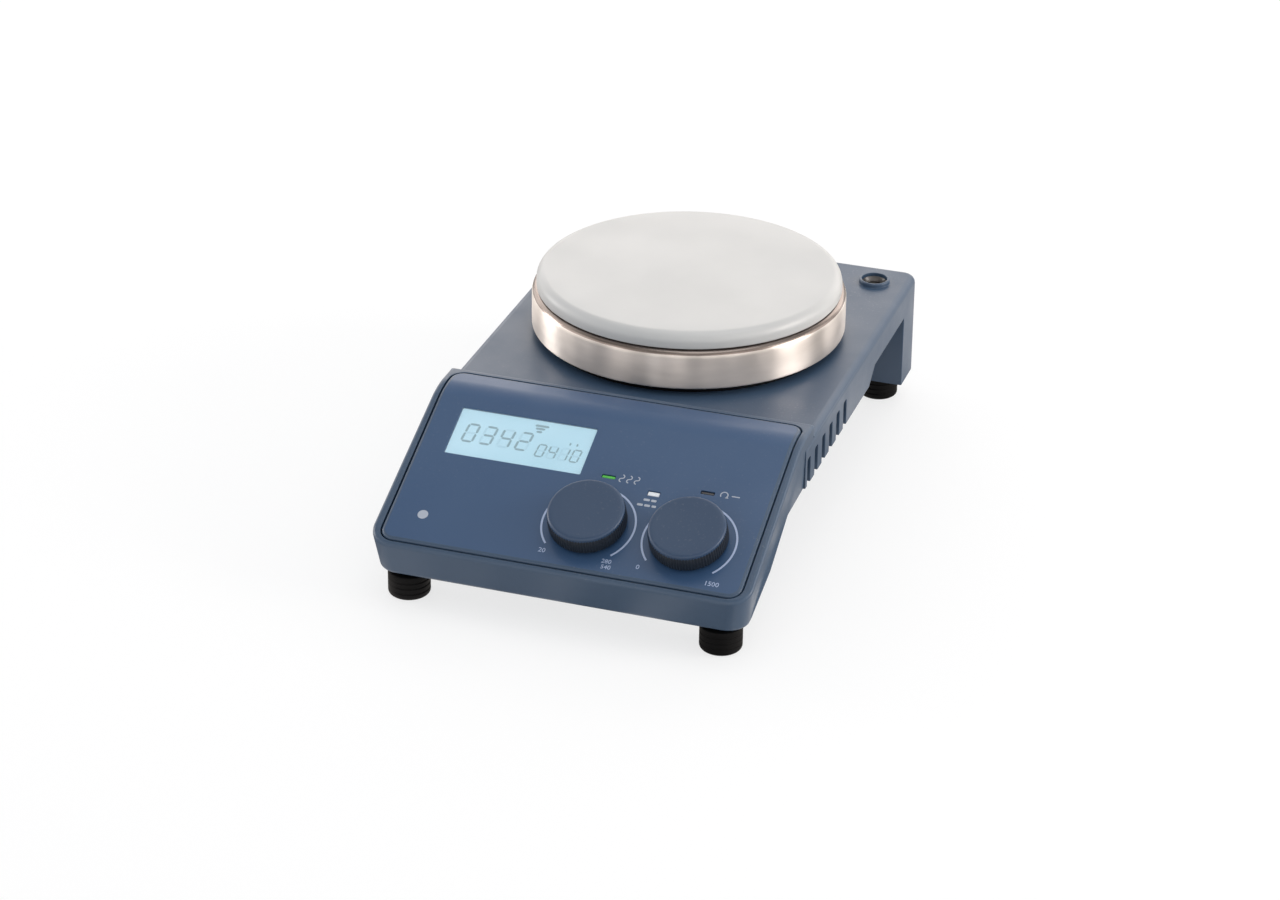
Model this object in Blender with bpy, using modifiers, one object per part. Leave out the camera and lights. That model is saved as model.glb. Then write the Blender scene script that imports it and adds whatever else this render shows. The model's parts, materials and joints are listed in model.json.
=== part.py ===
"""Hot-plate magnetic stirrer as an assembly of separate parts. Metres, +Z up, front at -Y."""

import math

import bmesh
import bpy
from mathutils import Matrix, Vector

MM = 0.001

# Overall sizes
WIDTH = 160 * MM  # across the front block
DEPTH = 264 * MM  # front skirt to rear wall
BODY_BOTTOM = 11 * MM  # lowest plastic above the bench, which is the free height of a foot
DECK_Z = 57 * MM  # top of the rear deck
BLOCK_Z = 61.4 * MM  # flat top of the front block
PLATE_TOP_Z = 84.5 * MM  # working surface of the hot plate
PLATE_DIA = 135 * MM  # outside of the steel skirt

# Housing
WALL = 2.5 * MM
FRONT_LINE_Z = 27 * MM  # where the sloped face meets the front skirt
SKIRT_BOTTOM_Z = 12 * MM
BLOCK_BACK = 94 * MM  # front skirt to the step down to the deck
BLOCK_FLAT = 17 * MM  # depth of the flat top behind the sloped face
SILL_Z = 37.5 * MM  # lower edge of the side wall
SILL_FRONT = 58 * MM  # front skirt to where the sill becomes level
ARCH_Z = 44 * MM  # lower edge of the side wall ahead of the rear leg
ARCH_START = 182 * MM  # front skirt to where the edge steps up
ARCH_STEP = 9 * MM
LEG_DEPTH = 23 * MM
LEG_WIDTH = 21.5 * MM
LEG_INSET = 1 * MM  # side of the casing to the leg's outer face
CORNER_R = 9 * MM  # vertical corners in plan
SIDE_EDGE_R = 4 * MM  # long top edges
REAR_EDGE_R = 5 * MM
SKIRT_TAPER = 2.5 * MM  # how far the skirt leans in at its bottom
VENT_COUNT = 6
VENT_PITCH = 11 * MM
VENT_WIDTH = 4.6 * MM
VENT_TOP_Z = 49.5 * MM
VENT_FIRST = 87 * MM  # front skirt to the first vent

# Sloped control panel, measured up the slope from its front line
PANEL_RIM = 3.4 * MM  # housing rim left around the panel
PANEL_T = 2.4 * MM
PANEL_CORNER_R = 6 * MM
LCD_W = 58.6 * MM
LCD_H = 24.4 * MM
LCD_X = -34.3 * MM
LCD_UP = 62 * MM
KNOB_DIA = 32 * MM
KNOB_H = 8.4 * MM
KNOB_LIFT = 1.6 * MM  # gap under the knob skirt
KNOB_X = (6.3 * MM, 48.4 * MM)
KNOB_UP = 26 * MM
KNOB_BEVEL = 0.9 * MM
SHAFT_R = 3 * MM
ENCODER_W = 13 * MM
LAMP_X = (6.9 * MM, 48.6 * MM)
LAMP_UP = 51 * MM
LAMP_W = 5.8 * MM
LAMP_H = 1.6 * MM
HOT_LAMP_X = 27.4 * MM
HOT_LAMP_UP = 46.2 * MM
HOT_LAMP_W = 5.2 * MM
HOT_LAMP_H = 2.4 * MM
BOARD_DEPTH = 10 * MM  # panel face to the board's front
BOARD_T = 1.6 * MM

# Hot plate
PLATE_FROM_FRONT = 173.5 * MM
CERAMIC_DIA = PLATE_DIA - 3.8 * MM
CERAMIC_T = 6.6 * MM
CERAMIC_EDGE_R = 4.2 * MM
SEAL_T = 1.8 * MM
SKIRT_H = 14.8 * MM
SKIRT_T = 1 * MM
DECK_HOLE_R = 40 * MM
SPACER_R = 3.5 * MM
SPACER_PCD_R = PLATE_DIA / 2 - 15.5 * MM
SHIELD_T = 1 * MM
INSULATION_T = 5 * MM
ELEMENT_R = PLATE_DIA / 2 - 9.5 * MM
PROBE_R = 2.5 * MM

# Stirring drive
MOTOR_R = 25 * MM
MOTOR_H = 20 * MM
BEARING_R = 8 * MM
BEARING_H = 4 * MM
MAGNET_R = 8 * MM
MAGNET_H = 5 * MM
MAGNET_OFFSET = 19 * MM
CARRIER_R = 30 * MM
CARRIER_H = 7 * MM
BRACKET_T = 2 * MM
BRACKET_W = 96 * MM
BRACKET_D = 44 * MM

# Support rod socket
ROD_FROM_SIDE = 16.5 * MM
ROD_FROM_REAR = 17.5 * MM
ROD_HOLE_R = 4.3 * MM  # tapping hole of an M10 thread
ROD_INSERT_R = 5.4 * MM
ROD_BOSS_R = 6.8 * MM
BOSS_R = 3.6 * MM
ROD_BOSS_H = 2 * MM
ROD_COLUMN_WALL = 1.6 * MM

# Underside
FOOT_R = 8.7 * MM
FOOT_PEG_R = 2.7 * MM
FOOT_HOLE_R = FOOT_PEG_R + 0.3 * MM
FOOT_INSET = 14 * MM  # side of the casing to a foot's axis
FOOT_FRONT = 11.5 * MM  # front skirt to the front feet's axes
FOOT_REAR = 11.3 * MM  # rear wall to the rear feet's axes
BASE_T = 2 * MM
TUB_BOTTOM_Z = 20 * MM
TUB_BACK = 5.5 * MM
SCREW_HEAD_R = 3 * MM
SCREW_R = 1.5 * MM
SCREW_INSET = 10 * MM
SCREW_FROM_FRONT = (104 * MM, 166 * MM)
BOARD_LIFT = 2.5 * MM
FLOOR_SLOTS = 5
FLOOR_SLOT_PITCH = 12 * MM
FLOOR_SLOT_HALF = 22 * MM
POWER_BOARD_LENGTH = 48 * MM

# Rear connectors
INLET_W = 38 * MM
INLET_H = 25 * MM
INLET_X = -30 * MM
INLET_Z = 38.5 * MM
INLET_DEPTH = 24 * MM
INLET_LIP = 1.5 * MM
SWITCH_LIP = 1 * MM
FLANGE_T = 1.2 * MM
SWITCH_W = 15 * MM
SWITCH_H = 21 * MM
SWITCH_X = 8 * MM
ROCKER_TILT = math.radians(8)
ROCKER_PIVOT_IN = 1.8 * MM
PORT_X = 38 * MM
PORT_Z = 44.7 * MM
SOCKET_Z = 30.5 * MM
SOCKET_R = 6 * MM
SOCKET_DEPTH = 9 * MM

# Clearances
SEAT = 0.3 * MM  # pieces that rest on each other
FIT = 0.4 * MM  # a piece in its opening
RUN = 0.08 * MM  # a shaft in its bearing

# Places worked out from the sizes above
FRONT = -DEPTH / 2
REAR = DEPTH / 2
HALF = WIDTH / 2
STEP_Y = FRONT + BLOCK_BACK
CREASE_Y = STEP_Y - BLOCK_FLAT
SLOPE = math.atan2(BLOCK_Z - FRONT_LINE_Z, CREASE_Y - FRONT)
SLOPE_LENGTH = math.hypot(BLOCK_Z - FRONT_LINE_Z, CREASE_Y - FRONT)
PLATE_Y = FRONT + PLATE_FROM_FRONT
ROD_X = HALF - ROD_FROM_SIDE
ROD_Y = REAR - ROD_FROM_REAR
ROD_COLUMN_R = ROD_INSERT_R + ROD_COLUMN_WALL
FOOT_X = HALF - FOOT_INSET
SCREW_X = HALF - SCREW_INSET
LEG_INNER = HALF - LEG_INSET - LEG_WIDTH
TUB_HALF = LEG_INNER - SEAT
BOARD_HALF = TUB_HALF - BASE_T - 3 * MM
FACE_Y = REAR - WALL - SEAT  # outer face of the rear panel, behind the rear wall
WINDOW_HALF = LEG_INNER - 4 * MM
WINDOW_LOW = TUB_BOTTOM_Z + 2 * MM
WINDOW_HIGH = DECK_Z - REAR_EDGE_R - 0.5 * MM
PANEL_HALF = HALF - 0.5 * MM - PANEL_RIM
PANEL = Matrix.Translation((0, FRONT, FRONT_LINE_Z)) @ Matrix.Rotation(SLOPE, 4, "X")
YZ_TO_WORLD = Matrix(((0, 0, 1, 0), (1, 0, 0, 0), (0, 1, 0, 0), (0, 0, 0, 1)))
XZ_TO_WORLD = Matrix(((1, 0, 0, 0), (0, 0, -1, 0), (0, 1, 0, 0), (0, 0, 0, 1)))


# ---- modelling helpers -----------------------------------------------------------------------------

for old in list(bpy.data.objects):
    bpy.data.objects.remove(old)

parts = bpy.data.collections.new("magnetic_stirrer")
cutters = bpy.data.collections.new("cutters")
bpy.context.scene.collection.children.link(parts)
bpy.context.scene.collection.children.link(cutters)


def material(name, colour, roughness, metallic=0.0):
    made = bpy.data.materials.new(name)
    made.use_nodes = True
    shader = made.node_tree.nodes["Principled BSDF"]
    shader.inputs["Base Color"].default_value = (*colour, 1)
    shader.inputs["Roughness"].default_value = roughness
    shader.inputs["Metallic"].default_value = metallic
    made.diffuse_color = (*colour, 1)
    return made


HOUSING = material("housing_plastic", (0.13, 0.18, 0.27), 0.45)
PANEL_BLUE = material("panel_plastic", (0.08, 0.15, 0.32), 0.4)
KNOB_GREY = material("knob_plastic", (0.06, 0.09, 0.14), 0.5)
RUBBER = material("black_rubber", (0.012, 0.012, 0.013), 0.8)
WHITE_PLATE = material("white_plate_coating", (0.74, 0.74, 0.71), 0.35)
STAINLESS = material("stainless_steel", (0.66, 0.64, 0.61), 0.22, 1.0)
ZINC_STEEL = material("zinc_steel", (0.5, 0.51, 0.52), 0.4, 1.0)
ALUMINIUM = material("aluminium", (0.62, 0.62, 0.63), 0.4, 1.0)
BLACK_PLASTIC = material("black_plastic", (0.02, 0.02, 0.022), 0.45)
BOARD_GREEN = material("board_green", (0.02, 0.12, 0.05), 0.5)
LCD_GLASS = material("lcd_glass", (0.52, 0.78, 0.86), 0.2)
CLEAR = material("clear_window", (0.75, 0.88, 0.92), 0.08)
GREEN_LENS = material("green_lens", (0.08, 0.45, 0.06), 0.2)
DARK_LENS = material("dark_lens", (0.03, 0.04, 0.06), 0.2)
WHITE_LENS = material("white_lens", (0.8, 0.82, 0.85), 0.3)
FIBRE = material("ceramic_fibre", (0.7, 0.66, 0.58), 0.9)
CAST = material("cast_element", (0.3, 0.29, 0.28), 0.6, 1.0)
MAGNET = material("magnet", (0.35, 0.35, 0.37), 0.3, 1.0)


def as_object(name, mesh, home=parts, finish=None):
    made = bpy.data.objects.new(name, mesh)
    home.objects.link(made)
    if finish:
        mesh.materials.clear()
        mesh.materials.append(finish)
    if home is cutters:
        made.hide_render = True
        made.display_type = "WIRE"
    return made


def outline_solid(name, points, depth, place=Matrix(), home=parts, finish=None):
    """Closed solid of a flat outline, given depth along its own Z and centred on it, then moved to place."""
    curve = bpy.data.curves.new(name, "CURVE")
    curve.dimensions = "2D"
    curve.fill_mode = "BOTH"
    curve.extrude = depth / 2
    spline = curve.splines.new("POLY")
    spline.points.add(len(points) - 1)
    spline.use_cyclic_u = True
    for point, (x, y) in zip(spline.points, points):
        point.co = (x, y, 0, 1)
    drawn = bpy.data.objects.new(name + "_outline", curve)
    bpy.context.scene.collection.objects.link(drawn)
    bpy.context.view_layer.update()
    evaluated = drawn.evaluated_get(bpy.context.evaluated_depsgraph_get())
    mesh = bpy.data.meshes.new_from_object(evaluated)
    bpy.data.objects.remove(drawn)
    mesh.name = name
    bm = bmesh.new()
    bm.from_mesh(mesh)
    bmesh.ops.remove_doubles(bm, verts=bm.verts, dist=1e-6)
    bmesh.ops.transform(bm, matrix=place, verts=bm.verts)
    bmesh.ops.recalc_face_normals(bm, faces=bm.faces)
    bm.to_mesh(mesh)
    bm.free()
    return as_object(name, mesh, home, finish)


def box(name, low, high, place=Matrix(), home=parts, finish=None, bevel=0.0):
    """Box between two corners in the frame of place."""
    size = Vector(high) - Vector(low)
    centre = (Vector(high) + Vector(low)) / 2
    mesh = bpy.data.meshes.new(name)
    bm = bmesh.new()
    fitted = Matrix.Translation(centre) @ Matrix.Diagonal((*size, 1))
    bmesh.ops.create_cube(bm, size=1, matrix=place @ fitted)
    bm.to_mesh(mesh)
    bm.free()
    made = as_object(name, mesh, home, finish)
    if bevel:
        soften(made, bevel)
    return made


def cylinder(name, radius, bottom, top, at=(0, 0), place=Matrix(), home=parts, finish=None, sides=32):
    """Upright cylinder in the frame of place, from height bottom to top."""
    mesh = bpy.data.meshes.new(name)
    bm = bmesh.new()
    middle = place @ Matrix.Translation((at[0], at[1], (bottom + top) / 2))
    size = {"radius1": radius, "radius2": radius, "depth": top - bottom}
    bmesh.ops.create_cone(bm, cap_ends=True, segments=sides, matrix=middle, **size)
    bm.to_mesh(mesh)
    bm.free()
    made = as_object(name, mesh, home, finish)
    shade_round(made)
    return made


def turned(name, profile, centre, finish, steps=48, turn_with=None):
    """Solid turned about a vertical axis: profile is a closed loop of (radius, height), running clockwise."""
    mesh = bpy.data.meshes.new(name)
    bm = bmesh.new()
    corners = [bm.verts.new((radius, 0, height)) for radius, height in profile]
    pairs = list(zip(corners, corners[1:]))
    if profile[0][0] > 0 or profile[-1][0] > 0:
        pairs.append((corners[-1], corners[0]))
    for a, b in pairs:
        bm.edges.new((a, b))
    bm.to_mesh(mesh)
    bm.free()
    made = as_object(name, mesh, parts, finish)
    screw = made.modifiers.new("turn", "SCREW")
    screw.steps = steps
    screw.render_steps = steps
    screw.use_merge_vertices = True
    screw.merge_threshold = 0.00001
    made.matrix_world = turn_with or Matrix.Translation(centre)
    return made


def soften(made, width, segments=2, angle=30):
    bevel = made.modifiers.new("soft_edges", "BEVEL")
    bevel.width = width
    bevel.segments = segments
    bevel.limit_method = "ANGLE"
    bevel.angle_limit = math.radians(angle)


def shade_round(made):
    made.data.shade_smooth()
    made.data.set_sharp_from_angle(angle=math.radians(35))


def combine(target, other, operation):
    step = target.modifiers.new(operation.lower(), "BOOLEAN")
    step.operation = operation
    step.object = other
    step.solver = "EXACT"


def cut(target, *tools):
    for tool in tools:
        combine(target, tool, "DIFFERENCE")


def join(target, *tools):
    for tool in tools:
        combine(target, tool, "UNION")


def arc(cx, cy, radius, start, end, steps=6):
    """Points along an arc, with angles in degrees."""
    angles = [math.radians(start + (end - start) * i / steps) for i in range(steps + 1)]
    return [(cx + radius * math.cos(a), cy + radius * math.sin(a)) for a in angles]


def rounded(width, height, radius, cx=0.0, cy=0.0, steps=6):
    """Outline of a rectangle with round corners, counter-clockwise."""
    x = width / 2 - radius
    y = height / 2 - radius
    corners = ((x, y, 0), (-x, y, 90), (-x, -y, 180), (x, -y, 270))
    return [p for a, b, start in corners for p in arc(cx + a, cy + b, radius, start, start + 90, steps)]


def on_panel(x, up, height=0.0):
    return PANEL @ Vector((x, up, height))


# ---- housing ---------------------------------------------------------------------------------------


def side_outline(inset=0.0, open_bottom=False):
    """Side view of the housing as (y, z); inset by the wall for its inside, which is left open underneath."""
    top = DECK_Z - inset
    edge = REAR_EDGE_R - inset
    drop = inset * (1 / math.cos(SLOPE) - math.tan(SLOPE))
    lean = SKIRT_TAPER if open_bottom else 0
    front = FRONT + inset + lean
    outline = [
        (front, FRONT_LINE_Z - drop + lean * math.tan(SLOPE)),
        (CREASE_Y + inset * math.tan(SLOPE / 2), BLOCK_Z - inset),
        (STEP_Y - inset, BLOCK_Z - inset),
        (STEP_Y + 1 * MM - inset, top),
        *arc(REAR - inset - edge, top - edge, edge, 90, 0, 4),
    ]
    if open_bottom:
        return [*outline, (REAR - inset, 0), (front, 0)]
    return [
        *outline,
        (REAR, BODY_BOTTOM + 6 * MM),
        (REAR - 4 * MM, BODY_BOTTOM),
        (REAR - LEG_DEPTH, BODY_BOTTOM),
        (REAR - LEG_DEPTH, ARCH_Z),
        (FRONT + ARCH_START + ARCH_STEP, ARCH_Z),
        (FRONT + ARCH_START, SILL_Z),
        (FRONT + SILL_FRONT, SILL_Z),
        (FRONT + FOOT_FRONT, SKIRT_BOTTOM_Z),
        (FRONT + SKIRT_TAPER, SKIRT_BOTTOM_Z),
    ]


def front_outline():
    """Front view of the housing as (x, z), with its top edges rounded and its skirt leaning in."""
    lean = HALF - SKIRT_TAPER
    top = HALF - 1 * MM
    half = [
        (lean, SKIRT_BOTTOM_Z - 2 * MM),
        (HALF, FRONT_LINE_Z),
        *arc(top - SIDE_EDGE_R, BLOCK_Z + 1 * MM - SIDE_EDGE_R, SIDE_EDGE_R, 0, 90, 4),
    ]
    return half + [(-x, z) for x, z in reversed(half)]


def rear_leg(side):
    """Leg at one rear corner, hollow and open towards the inside of the housing."""
    inner = LEG_INNER
    outer = HALF - LEG_INSET - 0.2 * MM
    x_low, x_high = sorted((side * inner, side * outer))
    low = (x_low, REAR - LEG_DEPTH, BODY_BOTTOM)
    leg = box("leg", low, (x_high, REAR - 0.2 * MM, ARCH_Z + 6 * MM), home=cutters)
    soften(leg, 1.5 * MM)
    x_low, x_high = sorted((side * (inner + WALL), side * (outer - WALL)))
    hollow = box(
        "leg_hollow",
        (x_low, REAR - LEG_DEPTH + WALL, BODY_BOTTOM + WALL),
        (x_high, REAR - WALL, ARCH_Z + 9 * MM),
        home=cutters,
    )
    return leg, hollow


def upper_housing():
    width = WIDTH + 4 * MM
    housing = outline_solid("upper_housing", side_outline(), width, YZ_TO_WORLD, finish=HOUSING)
    plan = rounded(WIDTH, DEPTH, CORNER_R)
    combine(housing, outline_solid("plan_shape", plan, 0.4, home=cutters), "INTERSECT")
    front = outline_solid("front_shape", front_outline(), 0.6, XZ_TO_WORLD, home=cutters)
    combine(housing, front, "INTERSECT")
    room_width = WIDTH - 2 * WALL - 2 * SKIRT_TAPER
    room_length = DEPTH - 2 * WALL - SKIRT_TAPER
    room = rounded(room_width, room_length, CORNER_R - WALL, 0, SKIRT_TAPER / 2)
    inside = outline_solid("inside", side_outline(WALL, True), WIDTH, YZ_TO_WORLD, home=cutters)
    combine(inside, outline_solid("inside_plan", room, 0.4, home=cutters), "INTERSECT")
    cut(housing, inside)
    for side in (-1, 1):
        leg, hollow = rear_leg(side)
        join(housing, leg)
        cut(housing, hollow)
    low = (-LEG_INNER, PLATE_Y, 0)
    high = (LEG_INNER, REAR + 9 * MM, TUB_BOTTOM_Z - 3 * MM)
    cut(housing, box("leg_gap", low, high, home=cutters))
    for tool in housing_bosses():
        join(housing, tool)
    for tool in housing_openings():
        cut(housing, tool)
    return housing


def boss_places():
    """Deck bosses that carry the motor bracket, as (x, y)."""
    x = BRACKET_W / 2 - 6 * MM
    y = BRACKET_D / 2 - 6 * MM
    return [(side * x, PLATE_Y + end * y) for side in (-1, 1) for end in (-1, 1)]


def screw_places():
    """Screws that hold the base cover, as (x, y)."""
    return [(x * SCREW_X, FRONT + y) for x in (-1, 1) for y in SCREW_FROM_FRONT]


def housing_bosses():
    bosses = [("bracket_boss", BOSS_R, bracket_top() + SEAT, place) for place in boss_places()]
    for x, y in screw_places():
        bosses.append(("screw_boss", BOSS_R, base_flange_top(y) + SEAT, (x, y)))
    rod = (ROD_X, ROD_Y)
    bosses.append(("rod_column", ROD_COLUMN_R, rod_bottom() - 3 * MM, rod))
    roof = DECK_Z - 1 * MM
    tools = [cylinder(name, r, low, roof, at, home=cutters, sides=20) for name, r, low, at in bosses]
    low = DECK_Z - 2 * MM
    tools.append(cylinder("rod_ring", ROD_BOSS_R, low, DECK_Z + ROD_BOSS_H, rod, home=cutters))
    return tools


def housing_openings():
    above = DECK_Z + 9 * MM
    hole = cylinder("deck_hole", DECK_HOLE_R, DECK_Z - 9 * MM, above, (0, PLATE_Y), home=cutters, sides=48)
    tools = [hole, panel_opening()]
    for side in (-1, 1):
        for i in range(VENT_COUNT):
            y = FRONT + VENT_FIRST + i * VENT_PITCH
            x_low, x_high = sorted((side * (HALF - 9 * MM), side * (HALF + 9 * MM)))
            low = (x_low, y - VENT_WIDTH / 2, SILL_Z - 9 * MM)
            tools.append(box("vent", low, (x_high, y + VENT_WIDTH / 2, VENT_TOP_Z), home=cutters))
    holes = [("screw_pilot", SCREW_R + RUN, DECK_Z - 5 * MM, place) for place in screw_places()]
    for x in (-FOOT_X, FOOT_X):
        holes.append(("foot_peg_hole", FOOT_HOLE_R, BODY_BOTTOM + 6 * MM, (x, REAR - FOOT_REAR)))
    for name, radius, top, place in holes:
        tools.append(cylinder(name, radius, 0, top, place, home=cutters, sides=16))
    seat = ROD_INSERT_R + FIT / 2
    rod = (ROD_X, ROD_Y)
    tools.append(cylinder("rod_bore", seat, rod_bottom() - SEAT, above, rod, home=cutters))
    low = (-WINDOW_HALF, REAR - 2 * WALL, WINDOW_LOW)
    tools.append(box("rear_window", low, (WINDOW_HALF, REAR + 9 * MM, WINDOW_HIGH), home=cutters))
    return tools


def rod_bottom():
    return BODY_BOTTOM + 14 * MM


def panel_outline(top, bottom, shrink=0.0):
    """Side view of the bent panel between two offsets from the sloped face."""
    start = PANEL_RIM + shrink
    end = STEP_Y - PANEL_RIM + 0.4 * MM - shrink
    bend = math.tan(SLOPE / 2)

    def slope_point(offset):
        point = on_panel(0, start, offset)
        return (point.y, point.z)

    def crease_point(offset):
        return (CREASE_Y - offset * bend, BLOCK_Z + offset)

    return [
        slope_point(bottom),
        slope_point(top),
        crease_point(top),
        (end, BLOCK_Z + top),
        (end, BLOCK_Z + bottom),
        crease_point(bottom),
    ]


def panel_plan(shrink=0.0):
    """Plan view of the panel, with its round corners, as a curve outline in X and Y."""
    start = on_panel(0, PANEL_RIM + shrink).y
    end = STEP_Y - PANEL_RIM + 0.4 * MM - shrink
    width = 2 * (PANEL_HALF - shrink)
    return rounded(width, end - start, PANEL_CORNER_R - shrink, 0, (start + end) / 2)


def panel_opening():
    side = panel_outline(6 * MM, -8 * MM)
    opening = outline_solid("panel_opening", side, WIDTH, YZ_TO_WORLD, home=cutters)
    combine(opening, outline_solid("opening_plan", panel_plan(), 0.4, home=cutters), "INTERSECT")
    return opening


def board_back():
    return FACE_Y - SOCKET_DEPTH - 1 * MM


# ---- base cover and feet ---------------------------------------------------------------------------


def base_path(lift=0.0):
    """Side view of the flange's underside from the front pad to the rear legs, raised by lift."""
    rise = 0.7 * MM
    front = FRONT + WALL + SKIRT_TAPER + FIT
    pad_end = FRONT + FOOT_FRONT + FOOT_R + 0.6 * MM
    return [
        (front, BODY_BOTTOM + lift),
        (pad_end - lift * 0.3, BODY_BOTTOM + lift),
        (FRONT + SILL_FRONT + 1 * MM - lift * 0.3, SILL_Z + rise + lift),
        (FRONT + ARCH_START - 1 * MM - lift * 0.3, SILL_Z + rise + lift),
        (FRONT + ARCH_START + ARCH_STEP - 1 * MM - lift * 0.3, ARCH_Z + rise + lift),
        (REAR - LEG_DEPTH - FIT, ARCH_Z + rise + lift),
    ]


def base_flange_top(y):
    """Height of the flange's upper face at y, on its level stretches."""
    level = SILL_Z if y < FRONT + ARCH_START else ARCH_Z
    return level + 0.7 * MM + BASE_T


def tub_outline(inset=0.0):
    """Side view of the tub under the motor; inset by the sheet for its inside, which is open at the top."""
    front = FRONT + FOOT_FRONT + FOOT_R + 2 * MM
    back = REAR - TUB_BACK - inset
    low_top = SILL_Z + 1.2 * MM
    high_top = ARCH_Z + 1.2 * MM
    lead = inset * 0.5
    outline = [
        (front + 1.5 * MM + lead, BODY_BOTTOM + 1 * MM + inset),
        (front + 14 * MM + lead, TUB_BOTTOM_Z + inset),
        (back, TUB_BOTTOM_Z + inset),
    ]
    if inset:
        clear = DECK_Z + 9 * MM
        return [*outline, (back, clear), (FRONT + SILL_FRONT + 2 * inset, clear)]
    return [
        *outline,
        (back, high_top),
        (FRONT + ARCH_START + ARCH_STEP, high_top),
        (FRONT + ARCH_START, low_top),
        (FRONT + SILL_FRONT + 3 * MM, low_top),
    ]


def base_cover():
    flange_half = HALF - SKIRT_TAPER - WALL - FIT - 0.6 * MM
    outline = base_path() + list(reversed(base_path(BASE_T)))
    cover = outline_solid("base_cover", outline, 2 * flange_half, YZ_TO_WORLD, finish=HOUSING)
    length = DEPTH - 2 * WALL - 2 * SKIRT_TAPER - 2 * FIT
    plan = rounded(2 * flange_half, length, CORNER_R - WALL)
    combine(cover, outline_solid("base_plan", plan, 0.4, home=cutters), "INTERSECT")
    join(cover, outline_solid("tub", tub_outline(), 2 * TUB_HALF, YZ_TO_WORLD, home=cutters))
    inside_half = TUB_HALF - BASE_T
    inside = outline_solid("tub_inside", tub_outline(BASE_T), 2 * inside_half, YZ_TO_WORLD, home=cutters)
    cut(cover, inside)
    under = min(INLET_Z - INLET_H / 2, SOCKET_Z - SOCKET_R)
    low = (-HALF, FACE_Y - INLET_DEPTH - 1 * MM, under - 1 * MM)
    cut(cover, box("connector_room", low, (HALF, REAR, DECK_Z), home=cutters))
    clear = ROD_COLUMN_R + FIT
    cut(cover, cylinder("rod_clearance", clear, 0, DECK_Z, (ROD_X, ROD_Y), home=cutters, sides=24))
    floor = TUB_BOTTOM_Z + BASE_T
    top = floor + BOARD_LIFT - SEAT
    for place in board_posts():
        join(cover, cylinder("board_post", 3 * MM, floor - 1 * MM, top, place, home=cutters, sides=12))
    for i in range(FLOOR_SLOTS):
        y = PLATE_Y - 45 * MM + i * FLOOR_SLOT_PITCH
        low = (-FLOOR_SLOT_HALF, y, 0)
        high = (FLOOR_SLOT_HALF, y + FLOOR_SLOT_PITCH / 3, TUB_BOTTOM_Z + 4 * MM)
        cut(cover, box("floor_slot", low, high, home=cutters))
    holes = [("screw_hole", SCREW_R + 0.3 * MM, DECK_Z, place) for place in screw_places()]
    for x in (-FOOT_X, FOOT_X):
        holes.append(("foot_hole", FOOT_HOLE_R, BODY_BOTTOM + 6 * MM, (x, FRONT + FOOT_FRONT)))
    for name, radius, top, place in holes:
        cut(cover, cylinder(name, radius, 0, top, place, home=cutters, sides=16))
    return cover


def board_posts():
    """Posts under the power board's corners, as (x, y)."""
    x = BOARD_HALF - 6 * MM
    rows = (board_back() - 6 * MM, board_back() - POWER_BOARD_LENGTH + 6 * MM)
    return [(side * x, y) for side in (-1, 1) for y in rows]


def base_screw(number, x, y):
    """Pan-head screw, put in from below through the flange."""
    seat = base_flange_top(y) - BASE_T - SEAT
    head = 2 * MM
    reach = 10 * MM
    profile = [
        (0, seat + reach),
        (SCREW_R, seat + reach),
        (SCREW_R, seat),
        (SCREW_HEAD_R, seat),
        (SCREW_HEAD_R, seat - head * 0.6),
        (SCREW_HEAD_R * 0.6, seat - head),
        (0, seat - head),
    ]
    return turned(f"base_screw_{number}", profile, (x, y, 0), ZINC_STEEL, steps=12)


def foot(name, x, y):
    """Moulded rubber foot with a peg that snaps into the casing."""
    top = BODY_BOTTOM - SEAT
    profile = [
        (0, BODY_BOTTOM + 4 * MM),
        (FOOT_PEG_R, BODY_BOTTOM + 4 * MM),
        (FOOT_PEG_R, top),
        (FOOT_R, top),
        (FOOT_R, 1.6 * MM),
        (FOOT_R - 0.5 * MM, 0.5 * MM),
        (FOOT_R - 1.6 * MM, 0),
        (0, 0),
    ]
    return turned(name, profile, (x, y, 0), RUBBER, steps=24)


# ---- control panel ---------------------------------------------------------------------------------


def panel_window(name, x, up, width, height, radius=0.5 * MM):
    shape = rounded(width, height, radius, x, up, 2)
    return outline_solid(name, shape, 30 * MM, PANEL, home=cutters)


def control_panel():
    side = panel_outline(0, -PANEL_T, FIT)
    panel = outline_solid("control_panel", side, WIDTH, YZ_TO_WORLD, finish=PANEL_BLUE)
    combine(panel, outline_solid("panel_shape", panel_plan(FIT), 0.4, home=cutters), "INTERSECT")
    cut(panel, panel_window("lcd_opening", LCD_X, LCD_UP, LCD_W, LCD_H))
    for x in KNOB_X:
        at = (x, KNOB_UP)
        cut(panel, cylinder("bush_hole", 4.3 * MM, -9 * MM, 9 * MM, at, PANEL, home=cutters, sides=24))
    for x in LAMP_X:
        cut(panel, panel_window("lamp_opening", x, LAMP_UP, LAMP_W, LAMP_H))
    cut(panel, panel_window("hot_lamp_opening", HOT_LAMP_X, HOT_LAMP_UP, HOT_LAMP_W, HOT_LAMP_H))
    return panel


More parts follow.
